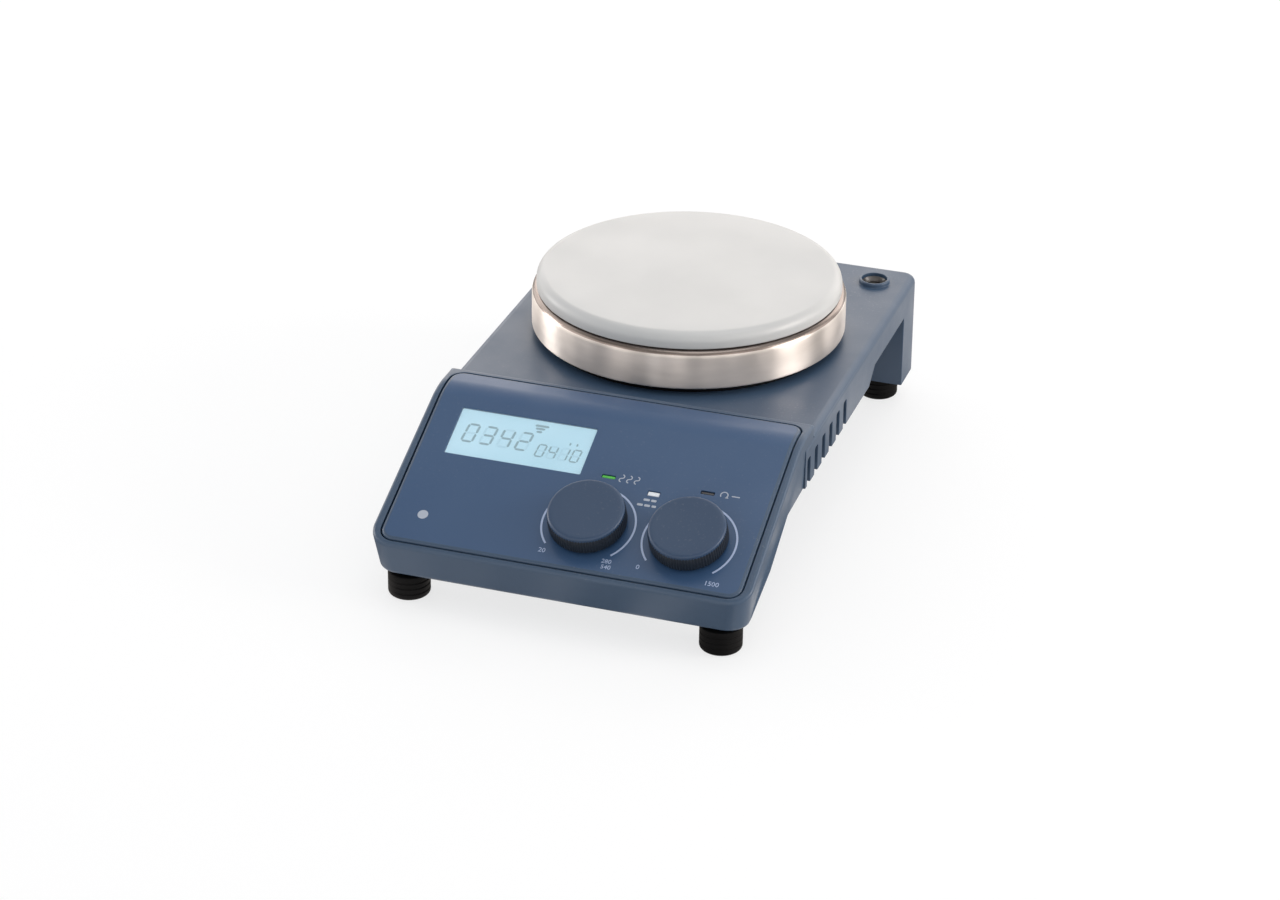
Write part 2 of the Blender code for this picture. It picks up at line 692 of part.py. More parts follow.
def lcd_stack():
    """Window flush with the panel, display cell behind it, and the moulded frame that carries the cell."""
    shape = rounded(LCD_W - FIT, LCD_H - FIT, 0.4 * MM, LCD_X, LCD_UP, 2)
    place = PANEL @ Matrix.Translation((0, 0, -0.9 * MM))
    outline_solid("lcd_window", shape, 1.4 * MM, place, finish=CLEAR)
    cell = rounded(LCD_W - 1 * MM, LCD_H - 1 * MM, 0.4 * MM, LCD_X, LCD_UP, 2)
    place = PANEL @ Matrix.Translation((0, 0, -2.8 * MM))
    outline_solid("lcd_cell", cell, 1.6 * MM, place, finish=LCD_GLASS)
    low = (LCD_X - LCD_W / 2 - 3 * MM, LCD_UP - LCD_H / 2 - 3 * MM, -BOARD_DEPTH + SEAT)
    high = (LCD_X + LCD_W / 2 + 3 * MM, LCD_UP + LCD_H / 2 + 3 * MM, -4 * MM)
    box("lcd_frame", low, high, PANEL, finish=BLACK_PLASTIC, bevel=0.5 * MM)


def lamp(name, x, up, width, height, finish):
    """Light pipe from the board to the panel's face."""
    low = (x - width / 2 + FIT / 2, up - height / 2 + FIT / 2, -BOARD_DEPTH + SEAT)
    high = (x + width / 2 - FIT / 2, up + height / 2 - FIT / 2, 0.1 * MM)
    return box(name, low, high, PANEL, finish=finish)


def control_board():
    half = PANEL_HALF - 6 * MM
    low = (-half, 9 * MM, -BOARD_DEPTH - BOARD_T)
    high = (half, SLOPE_LENGTH - 3 * MM, -BOARD_DEPTH)
    board = box("control_board", low, high, PANEL, finish=BOARD_GREEN)
    for x in (low[0] + 4 * MM, high[0] - 4 * MM):
        for up in (low[1] + 4 * MM, high[1] - 4 * MM):
            hole = cylinder("board_hole", 1.7 * MM, -20 * MM, 0, (x, up), PANEL, home=cutters, sides=12)
            cut(board, hole)
    return board


def encoder(kind, x):
    """Push and turn control: fixed body with its bush, a nut, the rotor, and the shaft under the knob."""
    at = Matrix.Translation(on_panel(x, KNOB_UP)) @ Matrix.Rotation(SLOPE, 4, "X")
    bush = 3.5 * MM
    back = -BOARD_DEPTH + SEAT
    front = -PANEL_T - SEAT
    half = ENCODER_W / 2
    low = (-half, -half, back)
    body = box(f"{kind}_encoder_body", low, (half, half, front), at, finish=BLACK_PLASTIC)
    top = 2.2 * MM
    join(body, cylinder("bush", bush, front - 1 * MM, top, place=at, home=cutters, sides=24))
    rooms = (
        ("rotor_room", 4.6 * MM, back - 1 * MM, front - 1.4 * MM),
        ("bush_bore", SHAFT_R + RUN, front - 3 * MM, top + 1 * MM),
    )
    for name, radius, low, high in rooms:
        cut(body, cylinder(name, radius, low, high, place=at, home=cutters, sides=24))
    rotor = [
        (4.4 * MM, back + 3.4 * MM),
        (4.4 * MM, back + 0.3 * MM),
        (SHAFT_R + RUN, back + 0.3 * MM),
        (SHAFT_R + RUN, back + 3.4 * MM),
    ]
    turned(f"{kind}_encoder_rotor", rotor, None, ALUMINIUM, steps=16, turn_with=at)
    nut = cylinder(f"{kind}_encoder_nut", 5 * MM, SEAT, 1.7 * MM, place=at, finish=ZINC_STEEL, sides=6)
    cut(nut, cylinder("nut_bore", bush + RUN, -1 * MM, 4 * MM, place=at, home=cutters, sides=24))
    push = 1 * MM
    shaft_back = back + push + 0.6 * MM
    tip = KNOB_LIFT + KNOB_H - 2.4 * MM
    profile = [(0, tip), (SHAFT_R, tip), (SHAFT_R, shaft_back), (0, shaft_back)]
    turned(f"{kind}_shaft", profile, None, ALUMINIUM, steps=16, turn_with=at)
    knob(f"{kind}_knob", at, tip)


def knob(name, at, shaft_tip):
    """Hollow cap with a hub that fits on the shaft; its outline is drawn from the top, down the outside."""
    radius = KNOB_DIA / 2
    top = KNOB_LIFT + KNOB_H
    wall = 1.8 * MM
    hub = SHAFT_R + 1.8 * MM
    bore = SHAFT_R + RUN
    profile = [
        (0, top),
        (radius - KNOB_BEVEL - 0.3 * MM, top),
        (radius - 0.3 * MM, top - KNOB_BEVEL),
        (radius, KNOB_LIFT),
        (radius - wall, KNOB_LIFT),
        (radius - wall, top - wall),
        (hub, top - wall),
        (hub, KNOB_LIFT + 2.6 * MM),
        (bore, KNOB_LIFT + 2.6 * MM),
        (bore, shaft_tip + SEAT),
        (0, shaft_tip + SEAT),
    ]
    return turned(name, profile, None, KNOB_GREY, steps=36, turn_with=at)


# ---- hot plate -------------------------------------------------------------------------------------


def plate_levels():
    """Heights of the hot plate's layers, from the working surface down."""
    ceramic = PLATE_TOP_Z - CERAMIC_T
    seal = ceramic - SEAL_T
    skirt_top = seal - SEAT
    skirt_bottom = skirt_top - SKIRT_H
    shield = skirt_bottom + 4 * MM
    return ceramic, seal, skirt_top, skirt_bottom, shield


def hot_plate():
    ceramic, seal, skirt_top, skirt_bottom, shield = plate_levels()
    centre = (0, PLATE_Y, 0)
    radius = CERAMIC_DIA / 2
    edge = arc(radius - CERAMIC_EDGE_R, PLATE_TOP_Z - CERAMIC_EDGE_R, CERAMIC_EDGE_R, 90, 0, 5)
    disc = [(0, PLATE_TOP_Z), *edge, (radius, ceramic + 0.6 * MM), (radius - 0.6 * MM, ceramic), (0, ceramic)]
    turned("heating_plate", disc, centre, WHITE_PLATE, steps=56)
    outer = PLATE_DIA / 2
    inner = outer - SKIRT_T
    ring = [
        (outer - 0.7 * MM, skirt_top),
        (outer, skirt_top - 0.7 * MM),
        (outer, skirt_bottom + 0.5 * MM),
        (outer - 0.5 * MM, skirt_bottom),
        (outer - 6.5 * MM, skirt_bottom),
        (outer - 6.5 * MM, skirt_bottom + SKIRT_T),
        (inner, skirt_bottom + SKIRT_T),
        (inner, skirt_top - SKIRT_T),
        (outer - 4 * MM, skirt_top - SKIRT_T),
        (outer - 4 * MM, skirt_top),
    ]
    turned("plate_skirt", ring, centre, STAINLESS, steps=56)
    seal_r = radius - 1.2 * MM
    seal_top = ceramic - SEAT
    inner_r = seal_r - 2.4 * MM
    band = [(seal_r, seal_top), (seal_r, seal), (inner_r, seal), (inner_r, seal_top)]
    turned("plate_seal", band, centre, RUBBER, steps=36)
    gasket_top = skirt_bottom - SEAT
    gasket_r = outer - 3.9 * MM
    gasket = [
        (gasket_r, gasket_top),
        (gasket_r, DECK_Z + SEAT),
        (gasket_r - 5 * MM, DECK_Z + SEAT),
        (gasket_r - 5 * MM, gasket_top),
    ]
    turned("gasket_ring", gasket, centre, RUBBER, steps=40)
    hot_plate_inside(centre, ceramic, shield, inner)


def hot_plate_inside(centre, ceramic, shield, room):
    """Shield, insulation, cast element and temperature probe, stacked under the plate on three spacers."""
    shield_top = shield + SHIELD_T
    fibre_low = shield_top + SEAT
    fibre_high = fibre_low + INSULATION_T
    element_low = fibre_high + SEAT
    element_high = ceramic - SEAT
    bore = PROBE_R + 1.5 * MM
    cylinder("heat_shield", room - 1.5 * MM, shield, shield_top, centre[:2], finish=ZINC_STEEL, sides=32)
    layers = (
        ("insulation_disc", room - 4 * MM, fibre_low, fibre_high, FIBRE),
        ("heating_element", ELEMENT_R, element_low, element_high, CAST),
    )
    for name, radius, low, high, finish in layers:
        turned(name, [(radius, high), (radius, low), (bore, low), (bore, high)], centre, finish, steps=32)
    cylinder("plate_probe", PROBE_R, fibre_low, element_high, centre[:2], finish=ZINC_STEEL, sides=20)
    for i in range(3):
        angle = math.radians(90 + 120 * i)
        x = SPACER_PCD_R * math.cos(angle)
        y = PLATE_Y + SPACER_PCD_R * math.sin(angle)
        name = f"plate_spacer_{i + 1}"
        low = DECK_Z + SEAT
        cylinder(name, SPACER_R, low, shield - SEAT, (x, y), finish=ZINC_STEEL, sides=20)


# ---- stirring drive --------------------------------------------------------------------------------


def bracket_top():
    return DECK_Z - 6 * MM


def motor():
    centre = (0, PLATE_Y, 0)
    top = bracket_top()
    bracket = outline_solid(
        "motor_bracket",
        rounded(BRACKET_W, BRACKET_D, 6 * MM, 0, PLATE_Y, 3),
        BRACKET_T,
        Matrix.Translation((0, 0, top - BRACKET_T / 2)),
        finish=ZINC_STEEL,
    )
    cut(bracket, cylinder("bracket_bore", 6 * MM, 0, DECK_Z, (0, PLATE_Y), home=cutters, sides=24))
    for place in boss_places():
        cut(bracket, cylinder("bracket_hole", 1.8 * MM, 0, DECK_Z, place, home=cutters, sides=12))
    can_top = top - BRACKET_T - SEAT
    can_low = can_top - MOTOR_H
    pocket = BEARING_R + RUN
    can = [
        (MOTOR_R - 1 * MM, can_top),
        (MOTOR_R, can_top - 1 * MM),
        (MOTOR_R, can_low + 1 * MM),
        (MOTOR_R - 1 * MM, can_low),
        (pocket, can_low),
        (pocket, can_top),
    ]
    turned("motor_housing", can, centre, ZINC_STEEL, steps=28)
    race = SHAFT_R + RUN
    bearings = (("motor_bearing_lower", can_low + SEAT), ("motor_bearing_upper", can_top - BEARING_H))
    for name, low in bearings:
        high = low + BEARING_H - 0.3 * MM
        band = [(BEARING_R, high), (BEARING_R, low), (race, low), (race, high)]
        turned(name, band, centre, STAINLESS, steps=20)
    low = can_low + BEARING_H + 0.6 * MM
    high = can_top - BEARING_H - 0.6 * MM
    rotor_r = BEARING_R - 0.5 * MM
    core = [(rotor_r, high), (rotor_r, low), (race, low), (race, high)]
    turned("motor_rotor", core, centre, CAST, steps=20)
    drive(centre, can_low)


def drive(centre, motor_low):
    """Shaft and the turning carrier with its two magnets."""
    low = bracket_top() + 3.4 * MM
    high = low + CARRIER_H
    shaft_top = high - 1 * MM
    shaft_low = motor_low + SEAT
    profile = [(0, shaft_top), (SHAFT_R, shaft_top), (SHAFT_R, shaft_low), (0, shaft_low)]
    turned("motor_shaft", profile, centre, STAINLESS, steps=16)
    bore = SHAFT_R + RUN
    disc = [(CARRIER_R, high), (CARRIER_R, low), (bore, low), (bore, high)]
    carrier = turned("magnet_carrier", disc, centre, ALUMINIUM, steps=32)
    seat = high - MAGNET_H - SEAT
    for i, side in enumerate((-1, 1)):
        at = (side * MAGNET_OFFSET, PLATE_Y)
        pocket_r = MAGNET_R + FIT
        cut(carrier, cylinder("magnet_pocket", pocket_r, seat, high + 4 * MM, at, home=cutters, sides=24))
        cylinder(f"drive_magnet_{i + 1}", MAGNET_R, seat + SEAT, high, at, finish=MAGNET, sides=24)


# ---- power and rear connectors ---------------------------------------------------------------------


def power_supply():
    floor = TUB_BOTTOM_Z + BASE_T + BOARD_LIFT
    back = board_back()
    low = (-BOARD_HALF, back - POWER_BOARD_LENGTH, floor)
    high = (BOARD_HALF, back, floor + BOARD_T)
    box("power_board", low, high, finish=BOARD_GREEN)
    lift = floor + BOARD_T + SEAT
    box(
        "transformer",
        (low[0] + 8 * MM, low[1] + 2 * MM, lift),
        (low[0] + 38 * MM, low[1] + 17 * MM, lift + 20 * MM),
        finish=BLACK_PLASTIC,
        bevel=1 * MM,
    )
    front = low[1] + 2 * MM
    right = 16 * MM
    high = (right + 28 * MM, front + 14 * MM, lift + 18 * MM)
    sink = box("heat_sink", (right, front, lift), high, finish=ALUMINIUM)
    for i in range(4):
        x = right + 2.5 * MM + i * 6.5 * MM
        gap_low = (x, low[1], lift + 4 * MM)
        cut(sink, box("fin_gap", gap_low, (x + 3.5 * MM, back, lift + 30 * MM), home=cutters))


def rear_panel():
    """Plate behind the rear window, with a cutout for each connector."""
    back = FACE_Y - BASE_T
    low = (-WINDOW_HALF - 1.5 * MM, back, WINDOW_LOW + 0.5 * MM)
    high = (WINDOW_HALF + 1.5 * MM, FACE_Y, WINDOW_HIGH + 1.2 * MM)
    panel = box("rear_panel", low, high, finish=BLACK_PLASTIC)
    lip = INLET_LIP
    cut(panel, cutout("inlet_cutout", INLET_X, INLET_Z, INLET_W / 2 - lip, INLET_H / 2 - lip))
    lip = SWITCH_LIP
    cut(panel, cutout("switch_cutout", SWITCH_X, INLET_Z, SWITCH_W / 2 - lip, SWITCH_H / 2 - lip))
    cut(panel, cutout("port_cutout", PORT_X, PORT_Z, 10 * MM, 5 * MM))
    place = facing_rear(PORT_X, SOCKET_Z)
    cut(panel, cylinder("socket_cutout", SOCKET_R, -9 * MM, 9 * MM, place=place, home=cutters))


def cutout(name, x, z, half, rise):
    low = (x - half, FACE_Y - 9 * MM, z - rise)
    return box(name, low, (x + half, FACE_Y + 9 * MM, z + rise), home=cutters)


def facing_rear(x, z):
    """Frame on the rear panel's face whose Z points out of the back."""
    return Matrix.Translation((x, FACE_Y, z)) @ Matrix.Rotation(-math.pi / 2, 4, "X")


def plug_outline(width, height, corner):
    """Mains plug opening: a rectangle with its two lower corners cut off, as (x, z)."""
    w = width / 2
    h = height / 2
    return [(w, h), (-w, h), (-w, -h + corner), (-w + corner, -h), (w - corner, -h), (w, -h + corner)]


def mains_inlet():
    """Appliance inlet with a flange outside the rear wall and a slot beside it for the fuse drawer."""
    flange = rounded(INLET_W, INLET_H, 2.5 * MM, steps=3)
    place = on_rear(INLET_X, INLET_Z, SEAT + FLANGE_T / 2)
    inlet = outline_solid("mains_inlet", flange, FLANGE_T, place, finish=BLACK_PLASTIC)
    half = INLET_W / 2 - INLET_LIP - FIT
    rise = INLET_H / 2 - INLET_LIP - FIT
    low = (INLET_X - half, FACE_Y - INLET_DEPTH, INLET_Z - rise)
    join(inlet, box("inlet_body", low, (INLET_X + half, FACE_Y + 1 * MM, INLET_Z + rise), home=cutters))
    socket = plug_outline(23 * MM, 16.5 * MM, 4 * MM)
    plug_x = INLET_X - 5.5 * MM
    cut(inlet, outline_solid("plug_room", socket, 34 * MM, on_rear(plug_x, INLET_Z), home=cutters))
    low, high = fuse_box(FIT / 2)
    cut(inlet, box("drawer_room", low, (high[0], FACE_Y + 9 * MM, high[2]), home=cutters))
    for x, z in ((-7 * MM, 0), (0, 4 * MM), (7 * MM, 0)):
        low = (plug_x + x - 1 * MM, FACE_Y - 20 * MM, INLET_Z + z - 2 * MM)
        high = (plug_x + x + 1 * MM, FACE_Y - 3 * MM, INLET_Z + z + 2 * MM)
        join(inlet, box("inlet_pin", low, high, home=cutters))
    low, high = fuse_box(-FIT / 2)
    face = FACE_Y + SEAT + FLANGE_T + 0.3 * MM
    drawer = box("fuse_drawer", low, (high[0], face, high[2]), finish=BLACK_PLASTIC)
    grip_low = (low[0] + 1 * MM, FACE_Y + 0.6 * MM, INLET_Z - 3 * MM)
    grip_high = (high[0] + 9 * MM, FACE_Y + 9 * MM, INLET_Z - 1.6 * MM)
    cut(drawer, box("drawer_grip", grip_low, grip_high, home=cutters))


def on_rear(x, z, outward=0.0):
    """Frame for an outline seen from the front, at a distance out of the rear panel's face."""
    return Matrix.Translation((x, FACE_Y + outward, z)) @ XZ_TO_WORLD


def fuse_box(grow):
    """Corners of the fuse drawer, larger or smaller by grow all round."""
    x = INLET_X + INLET_W / 2 - 7 * MM
    half = 3 * MM + grow
    rise = 7.5 * MM + grow
    return (x - half, FACE_Y - 15 * MM - grow, INLET_Z - rise), (x + half, FACE_Y, INLET_Z + rise)


def power_switch():
    """Rocker switch: frame in the rear wall and a rocker that tips about a cross pin."""
    half = SWITCH_W / 2
    rise = SWITCH_H / 2
    flange = rounded(SWITCH_W, SWITCH_H, 1.5 * MM, steps=3)
    place = on_rear(SWITCH_X, INLET_Z, SEAT + FLANGE_T / 2)
    frame = outline_solid("switch_frame", flange, FLANGE_T, place, finish=BLACK_PLASTIC)
    body_half = half - SWITCH_LIP - FIT
    body_rise = rise - SWITCH_LIP - FIT
    low = (SWITCH_X - body_half, FACE_Y - 14 * MM, INLET_Z - body_rise)
    high = (SWITCH_X + body_half, FACE_Y + 1 * MM, INLET_Z + body_rise)
    join(frame, box("switch_body", low, high, home=cutters))
    room_half = body_half - 1.2 * MM
    room_rise = body_rise - 0.9 * MM
    low = (SWITCH_X - room_half, FACE_Y - 8 * MM, INLET_Z - room_rise)
    high = (SWITCH_X + room_half, FACE_Y + 9 * MM, INLET_Z + room_rise)
    cut(frame, box("rocker_room", low, high, home=cutters))
    reach = room_rise - FIT - 0.3 * MM
    foot_reach = reach * 0.9
    upper = [(-reach, 3.5 * MM), (0, 2.2 * MM), (reach, 3.5 * MM)]
    face = [(-foot_reach, -1 * MM), *upper, (foot_reach, -1 * MM), (0, -3.5 * MM)]
    at = Matrix.Translation((SWITCH_X, FACE_Y - ROCKER_PIVOT_IN, INLET_Z))
    pivot = at @ Matrix.Rotation(ROCKER_TILT, 4, "X")
    upright = Matrix(((0, 0, 1, 0), (0, 1, 0, 0), (-1, 0, 0, 0), (0, 0, 0, 1)))
    width = 2 * (room_half - FIT)
    rocker = outline_solid("power_rocker", face, width, upright, finish=BLACK_PLASTIC)
    rocker.matrix_world = pivot


def serial_port():
    """Nine-pole connector shell on its flange."""
    flange = rounded(31 * MM, 12.4 * MM, 1.5 * MM, steps=2)
    thick = 0.8 * MM
    place = on_rear(PORT_X, PORT_Z, SEAT + thick / 2)
    port = outline_solid("serial_port", flange, thick, place, finish=ZINC_STEEL)
    shell = [(8.2 * MM, 4.1 * MM), (-8.2 * MM, 4.1 * MM), (-7 * MM, -4.1 * MM), (7 * MM, -4.1 * MM)]
    place = on_rear(PORT_X, PORT_Z, -4 * MM)
    join(port, outline_solid("port_shell", shell, 12 * MM, place, home=cutters))
    room = [(x * 0.9, z * 0.82) for x, z in shell]
    place = on_rear(PORT_X, PORT_Z, 0.5 * MM)
    cut(port, outline_solid("port_room", room, 9 * MM, place, home=cutters))


def sensor_socket():
    """Round socket for the outside temperature probe."""
    profile = [
        (7.2 * MM, 1.6 * MM),
        (7.2 * MM, SEAT),
        (SOCKET_R - FIT / 2, SEAT),
        (SOCKET_R - FIT / 2, -SOCKET_DEPTH),
        (0, -SOCKET_DEPTH),
        (0, -SOCKET_DEPTH / 2),
        (4.4 * MM, -SOCKET_DEPTH / 2),
        (4.4 * MM, 1.6 * MM),
    ]
    turned("sensor_socket", profile, None, ZINC_STEEL, steps=32, turn_with=facing_rear(PORT_X, SOCKET_Z))


def rod_insert():
    """Threaded steel bush for the support rod."""
    top = DECK_Z + ROD_BOSS_H - SEAT
    low = rod_bottom()
    profile = [
        (ROD_INSERT_R, top),
        (ROD_INSERT_R, low),
        (0, low),
        (0, low + 2 * MM),
        (ROD_HOLE_R, low + 2 * MM),
        (ROD_HOLE_R, top),
    ]
    turned("rod_insert", profile, (ROD_X, ROD_Y, 0), ZINC_STEEL, steps=24)


def build():
    upper_housing()
    base_cover()
    for number, (x, y) in enumerate(screw_places(), 1):
        base_screw(number, x, y)
    for x, side in ((-FOOT_X, "left"), (FOOT_X, "right")):
        foot(f"foot_front_{side}", x, FRONT + FOOT_FRONT)
        foot(f"foot_rear_{side}", x, REAR - FOOT_REAR)
    control_panel()
    lcd_stack()
    lamp("heat_lamp", LAMP_X[0], LAMP_UP, LAMP_W, LAMP_H, GREEN_LENS)
    lamp("stir_lamp", LAMP_X[1], LAMP_UP, LAMP_W, LAMP_H, DARK_LENS)
    lamp("hot_lamp", HOT_LAMP_X, HOT_LAMP_UP, HOT_LAMP_W, HOT_LAMP_H, WHITE_LENS)
    control_board()
    for kind, x in zip(("heat", "stir"), KNOB_X):
        encoder(kind, x)
    hot_plate()
    motor()
    power_supply()
    rear_panel()
    mains_inlet()
    power_switch()
    serial_port()
    sensor_socket()
    rod_insert()


build()
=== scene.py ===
# %% [markdown]
# # A hot-plate magnetic stirrer
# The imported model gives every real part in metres, at its place, and says which parts move together. This
# lesson keeps that frame as it is and builds the looks around it: soft-edged mouldings, a printed control
# panel with a display, ribbed knobs, a white plate in a polished steel ring, and rubber feet.

# %% Load the frame
import json
import math

import bmesh
import bpy
from mathutils import Matrix, Vector

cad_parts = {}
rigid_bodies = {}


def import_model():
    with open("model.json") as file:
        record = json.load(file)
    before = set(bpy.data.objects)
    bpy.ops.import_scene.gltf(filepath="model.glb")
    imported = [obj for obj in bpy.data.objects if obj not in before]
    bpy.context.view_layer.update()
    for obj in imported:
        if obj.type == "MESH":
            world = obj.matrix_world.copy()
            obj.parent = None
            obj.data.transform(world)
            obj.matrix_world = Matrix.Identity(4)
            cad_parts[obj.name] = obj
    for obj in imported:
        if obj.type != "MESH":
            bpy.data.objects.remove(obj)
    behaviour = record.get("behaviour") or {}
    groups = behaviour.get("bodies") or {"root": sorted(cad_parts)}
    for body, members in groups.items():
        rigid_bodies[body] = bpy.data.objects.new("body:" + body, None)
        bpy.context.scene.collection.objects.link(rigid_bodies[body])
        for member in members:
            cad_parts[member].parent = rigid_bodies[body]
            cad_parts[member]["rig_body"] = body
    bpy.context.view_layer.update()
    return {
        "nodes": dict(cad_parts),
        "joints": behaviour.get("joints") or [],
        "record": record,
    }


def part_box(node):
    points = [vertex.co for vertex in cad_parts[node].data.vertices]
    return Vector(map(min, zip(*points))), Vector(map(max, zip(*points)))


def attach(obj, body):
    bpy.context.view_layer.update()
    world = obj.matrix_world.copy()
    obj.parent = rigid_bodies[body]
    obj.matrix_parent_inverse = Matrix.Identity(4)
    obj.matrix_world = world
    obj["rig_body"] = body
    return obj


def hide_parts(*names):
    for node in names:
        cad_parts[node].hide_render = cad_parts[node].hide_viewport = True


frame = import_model()

# %% [markdown]
# ## Sizes taken from the frame
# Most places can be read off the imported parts: the casing's box gives its width and length, the gasket lies
# on the deck, and a knob's joint gives both its place and the tilt of the panel. Only sizes that no box
# holds, such as a fillet's radius, are written down here.

# %% Named sizes
MM = 0.001
GAP = 0.3 * MM
CASE_LOW, CASE_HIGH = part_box("upper_housing")
FRONT, REAR = CASE_LOW.y, CASE_HIGH.y
HALF = (CASE_HIGH.x - CASE_LOW.x) / 2
DECK_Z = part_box("gasket_ring")[0].z - GAP
BLOCK_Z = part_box("control_panel")[1].z
PLATE = sum(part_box("heating_plate"), Vector()) / 2
JOINTS = {joint["name"]: joint for joint in frame["joints"]}
PANEL_NORMAL = Vector(JOINTS["heat_turn"]["axis"])
SLOPE = math.atan2(-PANEL_NORMAL.y, PANEL_NORMAL.z)
FRONT_LINE_Z = 27 * MM
STEP_Y = FRONT + 94 * MM
CREASE_Y = STEP_Y - 17 * MM
PANEL = Matrix.Translation((0, FRONT, FRONT_LINE_Z)) @ Matrix.Rotation(SLOPE, 4, "X")
SIDE_VIEW = Matrix(((0, 0, 1, 0), (1, 0, 0, 0), (0, 1, 0, 0), (0, 0, 0, 1)))
print("slope", round(math.degrees(SLOPE), 2), "deck", round(DECK_Z / MM, 2), "block", round(BLOCK_Z / MM, 2))

# %% [markdown]
# ## The camera
# A product shot is taken from a little above and to the right with a long lens, which keeps the edges nearly
# parallel. The camera's three axes are set directly, because a small roll is part of the view.

# %% Camera
camera_data = bpy.data.cameras.new("camera")
camera_data.sensor_width = 36
camera_data.lens = 99.7346
camera_data.clip_start = 0.05
camera_data.clip_end = 50
camera = bpy.data.objects.new("camera", camera_data)
bpy.context.scene.collection.objects.link(camera)
camera_right = Vector((0.94932809, 0.31401794, 0.01299628))
camera_up = Vector((-0.15457177, 0.43049209, 0.88926044))
camera_back = camera_right.cross(camera_up)
camera_turn = Matrix((camera_right, camera_up, camera_back)).transposed().to_4x4()
camera.matrix_world = Matrix.Translation((0.40728029, -1.28320754, 0.70953656)) @ camera_turn
bpy.context.scene.camera = camera
print("camera is", round(camera.location.length, 3), "m from the middle of the base")

# %% [markdown]
# ## Floor and light
# The stirrer stands on a plain pale sweep. The main light is a wide warm panel low behind the object: a deck
# seen from above and in front reflects exactly that part of the room, so level faces turn light and warm
# while the tilted panel, which reflects the ceiling, keeps its own blue. Polished steel only looks like steel
# when it has something uneven to reflect. So the floor and the walls are plain to the camera, but show
# reflections a set of soft lighter and darker patches. That belongs to this studio and not to the object:
# the same ring elsewhere reflects whatever is there.

# %% Floor
floor_mesh = bpy.data.meshes.new("floor")
floor_bm = bmesh.new()
bmesh.ops.create_grid(floor_bm, x_segments=1, y_segments=1, size=6)
floor_bm.to_mesh(floor_mesh)
floor_bm.free()
floor = bpy.data.objects.new("floor", floor_mesh)
bpy.context.scene.collection.objects.link(floor)


def remap(tree, source, from_low, from_high, to_low, to_high):
    """Map Range node that turns one span of values into another."""
    node = tree.nodes.new("ShaderNodeMapRange")
    spans = {"From Min": from_low, "From Max": from_high, "To Min": to_low, "To Max": to_high}
    for label, value in spans.items():
        node.inputs[label].default_value = value
    tree.links.new(source, node.inputs["Value"])
    return node.outputs[0]


def floor_paper():
    """White paper. Its own glow keeps shadows light; only reflections see its light and dark patches."""
    made = bpy.data.materials.new("floor_paper")
    made.use_nodes = True
    tree = made.node_tree
    shader = tree.nodes["Principled BSDF"]
    shader.inputs["Base Color"].default_value = (0.76, 0.76, 0.76, 1)
    shader.inputs["Roughness"].default_value = 0.8
    glow = tree.nodes.new("ShaderNodeEmission")
    glow.inputs["Strength"].default_value = 1.12
    seen = tree.nodes.new("ShaderNodeLightPath")
    share = tree.nodes.new("ShaderNodeMath")
    share.operation = "MULTIPLY"
    share.inputs[1].default_value = 0.66
    mixed = tree.nodes.new("ShaderNodeMixShader")
    tree.links.new(seen.outputs["Is Camera Ray"], share.inputs[0])
    tree.links.new(share.outputs[0], mixed.inputs["Fac"])
    tree.links.new(shader.outputs[0], mixed.inputs[1])
    tree.links.new(glow.outputs[0], mixed.inputs[2])
    spots = tree.nodes.new("ShaderNodeTexNoise")
    spots.inputs["Scale"].default_value = 5
    spots.inputs["Detail"].default_value = 1
    around = tree.nodes.new("ShaderNodeVectorMath")
    around.operation = "NORMALIZE"
    tree.links.new(tree.nodes.new("ShaderNodeTexCoord").outputs["Object"], around.inputs[0])
    tree.links.new(around.outputs["Vector"], spots.inputs["Vector"])
    uneven = remap(tree, spots.outputs["Fac"], 0.42, 0.58, 0.35, 1.25)
    mirrored = tree.nodes.new("ShaderNodeEmission")
    mirrored.inputs["Color"].default_value = (1, 0.94, 0.89, 1)
    tree.links.new(uneven, mirrored.inputs["Strength"])
    both = tree.nodes.new("ShaderNodeMixShader")
    tree.links.new(seen.outputs["Is Glossy Ray"], both.inputs["Fac"])
    tree.links.new(mixed.outputs[0], both.inputs[1])
    tree.links.new(mirrored.outputs[0], both.inputs[2])
    tree.links.new(both.outputs[0], tree.nodes["Material Output"].inputs["Surface"])
    return made


floor_mesh.materials.append(floor_paper())
print("floor", floor.dimensions[:])


# %% Lights
def panel_light(name, place, aim, size, glow, colour=(1, 1, 1)):
    """Soft rectangular light that faces a point; glow is how bright its surface looks."""
    data = bpy.data.lights.new(name, "AREA")
    data.shape = "RECTANGLE"
    data.size, data.size_y = size
    data.energy = glow * math.pi * size[0] * size[1]
    data.color = colour
    light = bpy.data.objects.new(name, data)
    bpy.context.scene.collection.objects.link(light)
    light.location = place
    light.rotation_euler = (Vector(aim) - Vector(place)).to_track_quat("-Z", "Y").to_euler()
    light.visible_camera = False
    return light


panel_light("back_panel", (-0.25, 1.7, 0.85), (0, 0, 0.05), (2.6, 1.1), 1.3, (1, 0.93, 0.87))
panel_light("ceiling", (0.2, 0.2, 1.9), (0, 0, 0), (1.3, 1.1), 1.3, (1, 0.99, 0.97))
panel_light("right_side", (1.7, 0.2, 0.55), (0, 0, 0.04), (0.9, 0.8), 6.5, (1, 0.93, 0.87))
panel_light("left_strip", (-1.5, 0.14, 0.32), (0, 0.04, 0.06), (0.45, 0.6), 6, (1, 0.95, 0.9))
panel_light("front_strip", (-0.2, -1.9, 0.3), (0, 0.04, 0.06), (0.24, 0.5), 2.4, (1, 0.97, 0.94))


